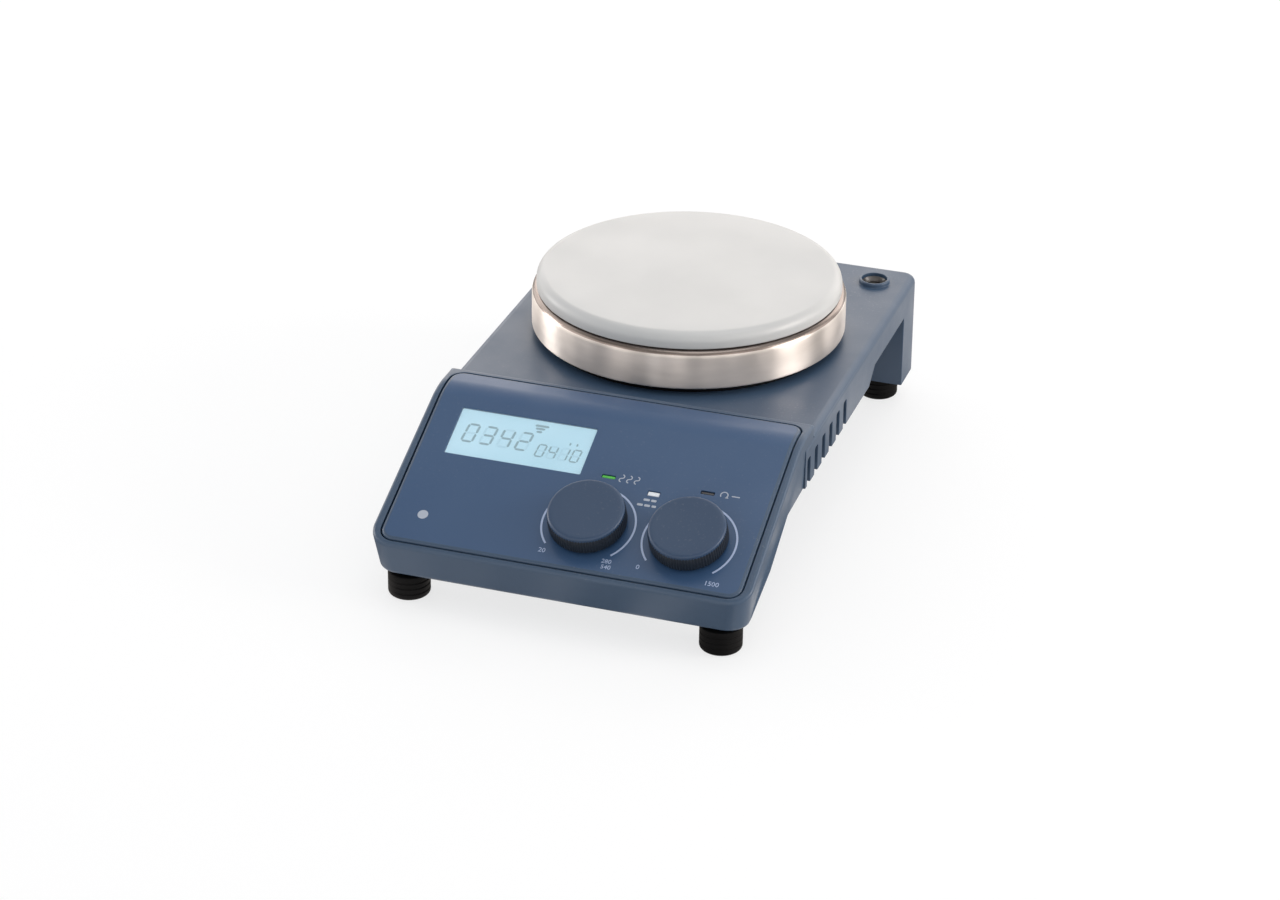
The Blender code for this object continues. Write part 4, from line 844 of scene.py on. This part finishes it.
# %% Panel opening, vents, holes
def bent_plate(shrink, top, bottom, edge=0.0):
    """Plate that follows the slope, bends at the crease, and ends before the step."""
    start = FRONT_RIM + shrink
    end = STEP_Y - PANEL_RIM + 0.4 * MM - shrink
    shift = math.tan(SLOPE / 2)
    outline = [(PANEL @ Vector((0, start, h))).yz[:] for h in (bottom, top)]
    outline += [(CREASE_Y - top * shift, BLOCK_Z + top), (end, BLOCK_Z + top)]
    outline += [(end, BLOCK_Z + bottom), (CREASE_Y - bottom * shift, BLOCK_Z + bottom)]
    half = HALF - 0.5 * MM - PANEL_RIM - shrink
    bm = slab(outline, SIDE_VIEW @ Matrix.Translation((0, 0, -half)), 2 * half)
    ends = [e for e in bm.edges if abs(e.calc_length() - (top - bottom)) < 0.1 * MM]
    round_off(bm, ends, 6 * MM - shrink, 8)
    bends = [e for e in bm.edges if all(CREASE_Y - 5 * MM < v.co.y < CREASE_Y + 5 * MM for v in e.verts)]
    bends = [e for e in bends if abs(e.verts[0].co.x - e.verts[1].co.x) > HALF]
    round_off(bm, bends, 2 * BEND_R * math.tan(SLOPE / 2), 6)
    if edge:
        upper = [e for e in bm.edges if leans(e)[1] > 0.8 and abs(leans(e)[0]) < 0.5]
        for face in round_off(bm, upper, edge, 5):
            face.material_index = 1
    return bm


def vents_and_holes():
    bm = bmesh.new()
    for side in (-1, 1):
        for i in range(6):
            middle = FRONT + 87 * MM + i * 11 * MM
            outline = [(middle - 2.3 * MM, 20 * MM), (middle + 2.3 * MM, 20 * MM)]
            outline += arc(middle + 1.5 * MM, 48.7 * MM, 0.8 * MM, 0, 90, 3)
            outline += arc(middle - 1.5 * MM, 48.7 * MM, 0.8 * MM, 90, 180, 3)
            start = min(side * (HALF - 9 * MM), side * (HALF + 9 * MM))
            slab(outline, SIDE_VIEW @ Matrix.Translation((0, 0, start)), 18 * MM, bm)
    deck = Matrix.Translation((0, 0, DECK_Z - 12 * MM))
    slab(arc(PLATE.x, PLATE.y, 40 * MM, 0, 357.5, 95), deck, 24 * MM, bm)
    rod = sum(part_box("rod_insert"), Vector()) / 2
    slab(arc(rod.x, rod.y, 5.6 * MM, 0, 352.5, 47), Matrix.Translation((0, 0, 24.7 * MM)), 0.06, bm)
    low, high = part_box("rear_panel")
    window = rounded(high.x - low.x - 3 * MM, 29.5 * MM, 1.5 * MM, 0, 36.8 * MM, 3)
    toward_rear = Matrix.Translation((0, REAR + 9 * MM, 0)) @ Matrix.Rotation(math.pi / 2, 4, "X")
    slab(window, toward_rear, 14 * MM, bm)
    return bm


def rod_ring():
    rod = sum(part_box("rod_insert"), Vector()) / 2
    top = DECK_Z + 2 * MM
    radius = 6.8 * MM
    edge = arc(radius - 0.7 * MM, top - 0.7 * MM, 0.7 * MM, 90, 0, 4)
    return turned([(0, top), *edge, (radius, DECK_Z - 2 * MM), (0, DECK_Z - 2 * MM)], (rod.x, rod.y, 0), 64)


boolean(casing, as_piece("panel_opening", bent_plate(0, 6 * MM, -9 * MM), CASE_PLASTIC), "DIFFERENCE")
boolean(casing, as_piece("rod_ring", rod_ring(), CASE_PLASTIC), "UNION")
boolean(casing, as_piece("vents_and_holes", vents_and_holes(), CASE_PLASTIC), "DIFFERENCE")
print("vents, window and holes cut:", len(casing.data.polygons), "faces")


# %% Soften the shell
def soften_shell(piece, radius, segments):
    bm = bmesh.new()
    bm.from_mesh(piece.data)
    bmesh.ops.remove_doubles(bm, verts=bm.verts, dist=2e-6)
    bmesh.ops.dissolve_degenerate(bm, dist=0.1 * MM, edges=bm.edges)
    bmesh.ops.dissolve_limit(bm, angle_limit=math.radians(0.5), verts=bm.verts, edges=bm.edges)
    bmesh.ops.dissolve_degenerate(bm, dist=0.1 * MM, edges=bm.edges)
    round_off(bm, sharp_edges(bm, 34), radius, segments)
    bm.to_mesh(piece.data)
    bm.free()
    piece.data.shade_smooth()
    piece.data.set_sharp_from_angle(angle=math.radians(38))
    return even_shading(piece)


soften_shell(casing, 0.35 * MM, 2)
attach(casing, "casing")
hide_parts("upper_housing")
print("casing:", [round(d / MM, 1) for d in casing.dimensions])

# %% [markdown]
# ## Control panel
# The panel is a printed overlay on a bent plate that stands a little proud. Its edge is rounded in the
# casing's own plastic, which catches the light beside the fine dark seam. The openings for the display, the
# three lamps and the knobs are cut from outlines listed here, and the display's layers use the same sizes.

# %% Panel plate
LCD_X, LCD_UP, LCD_W, LCD_H = -34.3 * MM, 62 * MM, 58.6 * MM, 24.4 * MM
LAMPS = {
    "heat_lamp": (6.9, 51, 5.8, 1.6),
    "stir_lamp": (48.6, 51, 5.8, 1.6),
    "hot_lamp": (27.4, 46.2, 5.2, 2.4),
}
BEHIND_PANEL = PANEL @ Matrix.Translation((0, 0, -20 * MM))
CUT_DEPTH = 40 * MM
KNOBS = {kind: Vector(JOINTS[kind + "_turn"]["pos_m"]) for kind in ("heat", "stir")}
KNOB_UP = (PANEL.inverted() @ KNOBS["heat"]).y


def panel_openings():
    bm = slab(rounded(LCD_W, LCD_H, 0.5 * MM, LCD_X, LCD_UP, 3), BEHIND_PANEL, CUT_DEPTH)
    for x, up, width, height in LAMPS.values():
        outline = rounded(width * MM, height * MM, 0.3 * MM, x * MM, up * MM, 3)
        slab(outline, BEHIND_PANEL, CUT_DEPTH, bm)
    for place in KNOBS.values():
        slab(arc(place.x, KNOB_UP, 4.3 * MM, 0, 348.75, 31), BEHIND_PANEL, CUT_DEPTH, bm)
    return bm


panel = as_piece("panel_plate", bent_plate(0.4 * MM, PANEL_TOP, -2.4 * MM, 1.6 * MM), PANEL_FILM)
panel.data.materials.append(CASE_PLASTIC)
boolean(panel, as_piece("panel_openings", panel_openings(), PANEL_FILM), "DIFFERENCE")
soften_shell(panel, 0.3 * MM, 2)
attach(panel, "casing")
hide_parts("control_panel")
print("panel:", [round(d / MM, 1) for d in panel.dimensions])

# %% [markdown]
# Printed marks lie a few hundredths of a millimetre above the film, as thick ink does. An arc round each
# knob is an edge spun part of a turn. The dial ends carry plain numbers, and the marks beside the lamps are
# plain shapes: waves for heat, and a turning arrow for stirring.

# %% Ink helpers
INK = 0.05 * MM


ON_PANEL = PANEL @ Matrix.Translation((0, 0, PANEL_TOP))


def thicken(bm):
    """Gives every flat face on the panel the ink's thickness, away from the panel."""
    grown = bmesh.ops.extrude_face_region(bm, geom=list(bm.faces))["geom"]
    lift = PANEL_NORMAL * INK
    bmesh.ops.translate(bm, vec=lift, verts=[v for v in grown if isinstance(v, bmesh.types.BMVert)])
    bmesh.ops.recalc_face_normals(bm, faces=bm.faces)


def ink_arc(bm, x, up, radius, width, start, end, steps=40):
    """Arc on the panel from start to end degrees, anticlockwise from the right."""
    base = ON_PANEL @ Matrix.Translation((x, up, 0))
    first = Matrix.Rotation(math.radians(start), 4, "Z")
    ends = [bm.verts.new(base @ first @ Vector((radius + s * width / 2, 0, 0))) for s in (-1, 1)]
    edge = bm.edges.new(ends)
    bmesh.ops.spin(
        bm, geom=[*ends, edge], cent=base.translation, axis=PANEL_NORMAL,
        angle=math.radians(end - start), steps=steps, use_merge=False,
    )


def ink_shape(bm, points, x=0.0, up=0.0):
    bm.faces.new([bm.verts.new(ON_PANEL @ Vector((x + u, up + v, 0))) for u, v in points])


def ink_bar(bm, x, up, width, height):
    ink_shape(bm, rounded(width, height, min(width, height) * 0.3, 0, 0, 2), x, up)


# %% Marks on the panel
def dial_marks():
    bm = bmesh.new()
    for place in KNOBS.values():
        ink_arc(bm, place.x, KNOB_UP, 19 * MM, 0.8 * MM, -45, 66)
        ink_arc(bm, place.x, KNOB_UP, 19 * MM, 0.8 * MM, 158, 222)
    thicken(bm)
    return bm


def lamp_marks():
    bm = bmesh.new()
    for row in range(3):
        x = 12.5 * MM + row * 3.2 * MM
        ink_arc(bm, x, 50.3 * MM, 0.9 * MM, 0.45 * MM, 90, 270, 8)
        ink_arc(bm, x, 52.1 * MM, 0.9 * MM, 0.45 * MM, -90, 90, 8)
    ink_arc(bm, 55.5 * MM, 51.2 * MM, 1.5 * MM, 0.45 * MM, -60, 220, 18)
    ink_shape(bm, [(0.9 * MM, -0.9 * MM), (2.3 * MM, -0.7 * MM), (1.4 * MM, 0.5 * MM)], 55.3 * MM, 50.6 * MM)
    ink_bar(bm, 60.3 * MM, 51.2 * MM, 3.4 * MM, 0.5 * MM)
    upper_bars = ((25.6, 42.6, 2.6), (28.6, 42.6, 2.2))
    lower_bars = ((23.6, 39.8, 2.4), (26.6, 39.8, 2.4), (29.4, 39.8, 1.8))
    for x, up, width in upper_bars + lower_bars:
        ink_bar(bm, x * MM, up * MM, width * MM, 1.1 * MM)
    thicken(bm)
    return bm


def plain_dot():
    bm = bmesh.new()
    ink_shape(bm, arc(-61.2 * MM, 17 * MM, 2.2 * MM, 0, 345, 23))
    thicken(bm)
    return bm


for mark_name, mark, ink in (("dial_arcs", dial_marks(), PRINT), ("lamp_marks", lamp_marks(), PALE_PRINT),
                             ("round_mark", plain_dot(), PALE_PRINT)):
    as_piece(mark_name, mark, ink, "casing")
print("marks printed")


# %% Numbers on the dials
def number(text, x, up, height):
    """Number printed on the panel with its middle at x and up, from the built-in typeface."""
    curve = bpy.data.curves.new("number", "FONT")
    curve.body = text
    curve.size = height * 1.4
    curve.align_x = "CENTER"
    curve.align_y = "CENTER"
    curve.resolution_u = 3
    written = bpy.data.objects.new("number", curve)
    bpy.context.scene.collection.objects.link(written)
    bpy.context.view_layer.update()
    mesh = bpy.data.meshes.new_from_object(written.evaluated_get(bpy.context.evaluated_depsgraph_get()))
    bpy.data.objects.remove(written)
    bm = bmesh.new()
    bm.from_mesh(mesh)
    bmesh.ops.transform(bm, matrix=ON_PANEL @ Matrix.Translation((x, up, 0)), verts=bm.verts)
    thicken(bm)
    return bm


DIAL_NUMBERS = [("20", -8.1, 9.6, 2.2), ("280", 19.0, 9.4, 2.0), ("540", 19.5, 6.6, 2.0), ("0", 32, 9.3, 2.2),
                ("1500", 63.0, 7.2, 2.2)]
for i, (text, x, up, height) in enumerate(DIAL_NUMBERS):
    as_piece(f"dial_number_{i + 1}", number(text, x * MM, up * MM, height * MM), PRINT, "casing")
print("numbers:", [entry[0] for entry in DIAL_NUMBERS])

# %% [markdown]
# ## Display
# The cell lies behind the window and glows pale blue. Its figures are seven-segment digits with a slight
# slant: each segment is a bar with pointed ends, and the ones that are off still show as faint ghosts.

# %% Digits
SEGMENTS = {"a": ((0, 2), (1, 2)), "b": ((1, 1), (1, 2)), "c": ((1, 0), (1, 1)), "d": ((0, 0), (1, 0)),
            "e": ((0, 0), (0, 1)), "f": ((0, 1), (0, 2)), "g": ((0, 1), (1, 1))}
LIT = {"0": "abcdef", "1": "bc", "2": "abged", "3": "abgcd", "4": "fgbc"}
CELL_TOP = -0.3 * MM
CELL_FRAME = PANEL @ Matrix.Translation((LCD_X, LCD_UP, CELL_TOP))


def segment(bm, start, end, width):
    """Bar with pointed ends between two points of the display."""
    a, b = Vector(start), Vector(end)
    along = (b - a).normalized()
    across = Vector((-along.y, along.x)) * width / 2
    a, b = a + along * width * 0.15, b - along * width * 0.15
    inner_a, inner_b = a + along * width / 2, b - along * width / 2
    outline = (a, inner_a - across, inner_b - across, b, inner_b + across, inner_a + across)
    bm.faces.new([bm.verts.new(CELL_FRAME @ Vector((*p, 0))) for p in outline])


def digits(bm, text, left, base, pitch, width, height, ghost):
    """Row of digits: the lit segments, or with ghost the ones that are off."""
    for i, figure in enumerate(text):
        for key, ends in SEGMENTS.items():
            if (key in LIT[figure]) == ghost:
                continue
            start = left + i * pitch
            points = [(start + u * width + v * height * 0.05, base + v * height / 2) for u, v in ends]
            segment(bm, *points, width * 0.22)


def display_figures(ghost):
    bm = bmesh.new()
    digits(bm, "0342", -24.6 * MM, -4.4 * MM, 7.7 * MM, 4.6 * MM, 9.0 * MM, ghost)
    digits(bm, "0410", 7.6 * MM, -6.2 * MM, 5.0 * MM, 3.2 * MM, 6.2 * MM, ghost)
    thicken(bm)
    return bm


def display_signs():
    bm = bmesh.new()
    for row, left, width in ((9.3, 3.0, 6.5), (7.8, 3.6, 4.6), (6.2, 4.4, 3.0)):
        segment(bm, (left * MM, row * MM), ((left + width) * MM, row * MM), 1.1 * MM)
    for x in (20.5, 23.5):
        segment(bm, (x * MM, 1.6 * MM), (x * MM, 3.4 * MM), 0.7 * MM)
    thicken(bm)
    return bm


def display_layer(low, high, shrink):
    """Flat layer of the display between two heights over the panel's surface."""
    outline = rounded(LCD_W - 2 * shrink, LCD_H - 2 * shrink, 0.4 * MM, LCD_X, LCD_UP, 3)
    return slab(outline, PANEL @ Matrix.Translation((0, 0, low)), high - low)


cell = as_piece("display_cell", display_layer(-2 * MM, CELL_TOP, 0.15 * MM), DISPLAY_GLOW, "casing")
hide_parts("lcd_cell")
clear_layer = display_layer(-0.2 * MM, PANEL_TOP - 0.05 * MM, 0.15 * MM)
window = as_piece("display_window", clear_layer, CLEAR, "casing")
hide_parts("lcd_window")
as_piece("display_digits", display_figures(False), DISPLAY_DARK, "casing")
as_piece("display_ghosts", display_figures(True), DISPLAY_GHOST, "casing")
as_piece("display_signs", display_signs(), DISPLAY_DARK, "casing")
for lamp_name, finish in (("heat_lamp", GREEN_LAMP), ("stir_lamp", DARK_LAMP), ("hot_lamp", WHITE_LAMP)):
    softened(lamp_name, finish, 0.2 * MM, lamp_name + "_lens")
print("display and lamps in place")

# %% [markdown]
# ## Knobs
# A knob is a turned cap with a fine ribbed rim for grip. The profile is spun in small steps, and then every
# point of the rim moves in and out with the angle, which gives the ribs. The cap turns with its shaft.

# %% Knob caps
KNOB_R = 16 * MM
KNOB_LOW, KNOB_TOP = 1.6 * MM, 10 * MM
RIB_COUNT = 84


def knob_cap(place):
    bevel = arc(KNOB_R - 1.8 * MM, KNOB_TOP - 1.5 * MM, 1.5 * MM, 90, 8, 6)
    dish = [(0, KNOB_TOP - 0.25 * MM), (KNOB_R * 0.6, KNOB_TOP - 0.12 * MM), (KNOB_R - 2.9 * MM, KNOB_TOP)]
    rim = [(KNOB_R - 0.25 * MM, KNOB_TOP - 1.8 * MM), (KNOB_R - 0.1 * MM, KNOB_TOP - 2.4 * MM)]
    foot = [(KNOB_R, KNOB_LOW + 0.9 * MM), (KNOB_R - 0.3 * MM, KNOB_LOW), (KNOB_R - 1.8 * MM, KNOB_LOW)]
    inside = [(KNOB_R - 1.8 * MM, KNOB_TOP - 1.8 * MM), (4.8 * MM, KNOB_TOP - 1.8 * MM)]
    hub = [(4.8 * MM, KNOB_LOW + 2.6 * MM), (3.08 * MM, KNOB_LOW + 2.6 * MM)]
    hub.append((3.08 * MM, KNOB_TOP - 2.1 * MM))
    bm = turned([*dish, *bevel, *rim, *foot, *inside, *hub, (0, KNOB_TOP - 2.1 * MM)], steps=RIB_COUNT * 4)
    for vert in bm.verts:
        flat = vert.co.xy.length
        if flat > KNOB_R - 0.35 * MM and vert.co.z < KNOB_TOP - 1 * MM:
            wave = 0.5 - 0.5 * math.cos(RIB_COUNT * math.atan2(vert.co.y, vert.co.x))
            vert.co.xy = vert.co.xy * (1 - 0.32 * MM * wave / flat)
    bmesh.ops.transform(bm, matrix=Matrix.Translation(place) @ Matrix.Rotation(SLOPE, 4, "X"), verts=bm.verts)
    return bm


def paint_rib_shade(cap, place):
    """Paints the ribbed side darker, as painted shade; the soft upper edge stays with the top."""
    cap.data.materials.append(RIB_PAINTED_SHADE_PLASTIC)
    for face in cap.data.polygons:
        if (face.center - place).dot(PANEL_NORMAL) < KNOB_TOP - 1.9 * MM:
            face.material_index = 1


for kind, place in KNOBS.items():
    cap = as_piece(f"{kind}_knob_cap", knob_cap(place), KNOB_PLASTIC, f"{kind}_control", 50)
    paint_rib_shade(cap, place)
    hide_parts(f"{kind}_knob")
print("knob caps:", len(cap.data.polygons), "faces each")

# %% [markdown]
# ## Hot plate
# The working disc is white and smooth with a well-rounded edge. Under it stands a polished steel ring whose
# top is rolled inwards. The upward-facing top of the roll gets a darker, brownish steel: painted shade and a
# painted dark reflection, which give the narrow dark shoulder below the disc. A black seal closes the gap
# between them, and a gasket set back under the ring leaves a thin dark line on the deck. All four are turned
# profiles.

# %% Plate, seal, ring, gasket
DISC_LOW, DISC_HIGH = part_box("heating_plate")
RING_LOW, RING_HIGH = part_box("plate_skirt")
SEAL_LOW, SEAL_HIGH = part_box("plate_seal")
GASKET_LOW, GASKET_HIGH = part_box("gasket_ring")
DISC_R = (DISC_HIGH.x - DISC_LOW.x) / 2
RING_R = (RING_HIGH.x - RING_LOW.x) / 2


def working_disc():
    top, low, edge = DISC_HIGH.z, DISC_LOW.z - 0.3 * MM, 4.2 * MM
    rounding = arc(DISC_R - edge, top - edge, edge, 90, 0, 12)
    under = arc(DISC_R - 0.7 * MM, low + 0.7 * MM, 0.7 * MM, 0, -90, 4)
    rings = [(DISC_R * share, top) for share in (0, 0.3, 0.6, 0.85)]
    return turned([*rings, *rounding, *under, (DISC_R * 0.5, low), (0, low)], PLATE.xy.to_3d(), 144)


def steel_ring():
    """Upright wall whose top is rolled inwards under the disc, and whose foot has a small hem."""
    top, low = DISC_LOW.z - 0.7 * MM, RING_LOW.z - 0.8 * MM
    roll = arc(RING_R - 3 * MM, top - 3 * MM, 3 * MM, 90, 0, 10)
    hem = arc(RING_R - 0.9 * MM, low + 0.9 * MM, 0.9 * MM, 0, -90, 5)
    back = [(RING_R - 2.9 * MM, low), (RING_R - 2.9 * MM, low + 1 * MM), (RING_R - 1.2 * MM, low + 1.2 * MM)]
    inner = arc(RING_R - 3 * MM, top - 3 * MM, 1.8 * MM, 0, 90, 5)
    return turned([*roll, *hem, *back, *inner], PLATE.xy.to_3d(), 144)


def wrap_round(piece, centre):
    """UV map whose U runs round the axis, so that a tangent can follow the turned lines."""
    layer = piece.data.uv_layers.new(name="around")
    for face in piece.data.polygons:
        middle = math.atan2(face.center.y - centre.y, face.center.x - centre.x)
        for loop in face.loop_indices:
            point = piece.data.vertices[piece.data.loops[loop].vertex_index].co
            turn = math.atan2(point.y - centre.y, point.x - centre.x)
            turn += math.tau * round((middle - turn) / math.tau)
            layer.data[loop].uv = (turn / math.tau, point.z * 10 + (point.xy - centre.xy).length)


def band(low, high, outer, width, soft):
    """Ring of rectangular section with rounded outer corners."""
    top = arc(outer - soft, high.z - soft, soft, 90, 0, 3)
    bottom = arc(outer - soft, low.z + soft, soft, 0, -90, 3)
    return turned([*top, *bottom, (outer - width, low.z), (outer - width, high.z)], PLATE.xy.to_3d(), 120)


disc = as_piece("plate_disc", working_disc(), WHITE_ENAMEL, "casing")
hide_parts("heating_plate")
ring = as_piece("plate_ring", steel_ring(), POLISHED_STEEL, "casing")
ring.data.materials.append(SHOULDER_SHADE_STEEL)
# Upward-facing faces near the top of the ring take the darker steel: painted shade and painted dark
# reflection.
for face in ring.data.polygons:
    if face.normal.z > 0.45 and face.center.z > DISC_LOW.z - 3.5 * MM:
        face.material_index = 1
wrap_round(ring, PLATE)
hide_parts("plate_skirt")
seal_band = band(SEAL_LOW, SEAL_HIGH, SEAL_HIGH.x, 2.4 * MM, 0.3 * MM)
seal = as_piece("plate_seal_ring", seal_band, SEAL_RUBBER, "casing")
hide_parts("plate_seal")
gasket_top = GASKET_HIGH - Vector((0, 0, 0.8 * MM))
gasket_band = band(GASKET_LOW, gasket_top, RING_R - 3.6 * MM, 4 * MM, 0.4 * MM)
gasket = as_piece("deck_gasket", gasket_band, SEAL_RUBBER, "casing")
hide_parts("gasket_ring")
print("plate", round(2 * DISC_R / MM, 1), "ring", round(2 * RING_R / MM, 1))

# %% [markdown]
# ## Feet
# Each rubber foot is a short turned plug with two shallow grooves and a rounded tread, and its peg goes up
# into the casing.

# %% Feet
FOOT_R = 8.7 * MM


def foot_plug(node):
    low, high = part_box(node)
    centre = (low + high) / 2
    top = 10.7 * MM
    tread = arc(FOOT_R - 1.8 * MM, 1.8 * MM, 1.8 * MM, 0, -90, 6)
    grooves = []
    for z in (8, 5.6, 3.2):
        grooves += [(FOOT_R, (z + 0.5) * MM), (FOOT_R - 0.3 * MM, (z + 0.2) * MM)]
        grooves += [(FOOT_R - 0.3 * MM, (z - 0.2) * MM), (FOOT_R, (z - 0.5) * MM)]
    shoulder = [(0, high.z), (2.3 * MM, high.z), (2.7 * MM, high.z - 0.4 * MM), (2.7 * MM, top)]
    collar = arc(FOOT_R - 0.6 * MM, top - 0.6 * MM, 0.6 * MM, 90, 0, 4)
    return turned([*shoulder, *collar, *grooves, *tread, (0, 0)], (centre.x, centre.y, 0), 56)


for end in ("front", "rear"):
    for side in ("left", "right"):
        node = f"foot_{end}_{side}"
        plug = as_piece(node + "_plug", foot_plug(node), RUBBER, "casing")
        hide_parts(node)

# %% [markdown]
# ## Rod socket
# The steel bush in the deck takes a threaded support rod. Its thread is a row of shallow rings, which reads
# as a thread at this size and stays a closed solid. Its near-black steel is painted shade for the dark hole.

# %% Rod bush
def rod_bush():
    low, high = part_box("rod_insert")
    centre = (low + high) / 2
    outer = (high.x - low.x) / 2
    crest, root = 4.1 * MM, 4.6 * MM
    floor_z = low.z + 2 * MM
    turns = int((high.z - 2 * MM - floor_z) / (1.5 * MM))
    thread = [(0, floor_z), (crest, floor_z)]
    for i in range(turns):
        z = floor_z + (i + 0.5) * 1.5 * MM
        thread += [(root, z), (crest, z + 0.75 * MM)]
    top = high.z - 1 * MM
    mouth = [(4.9 * MM, top - 0.2 * MM), (outer - 0.3 * MM, top), (outer, top - 0.3 * MM)]
    return turned([*thread, *mouth, (outer, low.z), (0, low.z)], (centre.x, centre.y, 0), 48)


# The bush's near-black steel paints the shade inside the rod hole.
bush = as_piece("rod_bush", rod_bush(), BORE_SHADE_STEEL, "casing", 30)
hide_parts("rod_insert")
print("rod bush", [round(d / MM, 1) for d in bush.dimensions])

# %% [markdown]
# ## Base, rear panel and inside
# The remaining parts have the right shape already. Those that show from below and behind are copied with
# rounded corners, and the ones inside keep their own meshes and only get a finish.

# %% Softened parts
SOFT_PARTS = [
    ("base_cover", CASE_PLASTIC, 0.3),
    ("rear_panel", BLACK_PLASTIC, 0.2),
    ("mains_inlet", BLACK_PLASTIC, 0.2),
    ("fuse_drawer", BLACK_PLASTIC, 0.25),
    ("switch_frame", BLACK_PLASTIC, 0.2),
    ("power_rocker", BLACK_PLASTIC, 0.3),
    ("serial_port", PLAIN_STEEL, 0.15),
    ("sensor_socket", PLAIN_STEEL, 0.15),
]
for node, finish, radius in SOFT_PARTS:
    softened(node, finish, radius * MM)

# %% Finishes of the parts inside
INSIDE = {
    "zinc_steel": PLAIN_STEEL,
    "stainless_steel": PLAIN_STEEL,
    "aluminium": ALUMINIUM,
    "black_plastic": BLACK_PLASTIC,
    "board_green": BOARD,
    "ceramic_fibre": FIBRE,
    "cast_element": CAST_METAL,
    "magnet": MAGNET_METAL,
}
slots = {part["node"]: part["material_slot"] for part in frame["record"]["subparts"]}
for node, piece in frame["nodes"].items():
    if not piece.hide_render:
        piece.data.materials.clear()
        piece.data.materials.append(INSIDE[slots[node]])
print("inside parts finished:", sum(not piece.hide_render for piece in frame["nodes"].values()))
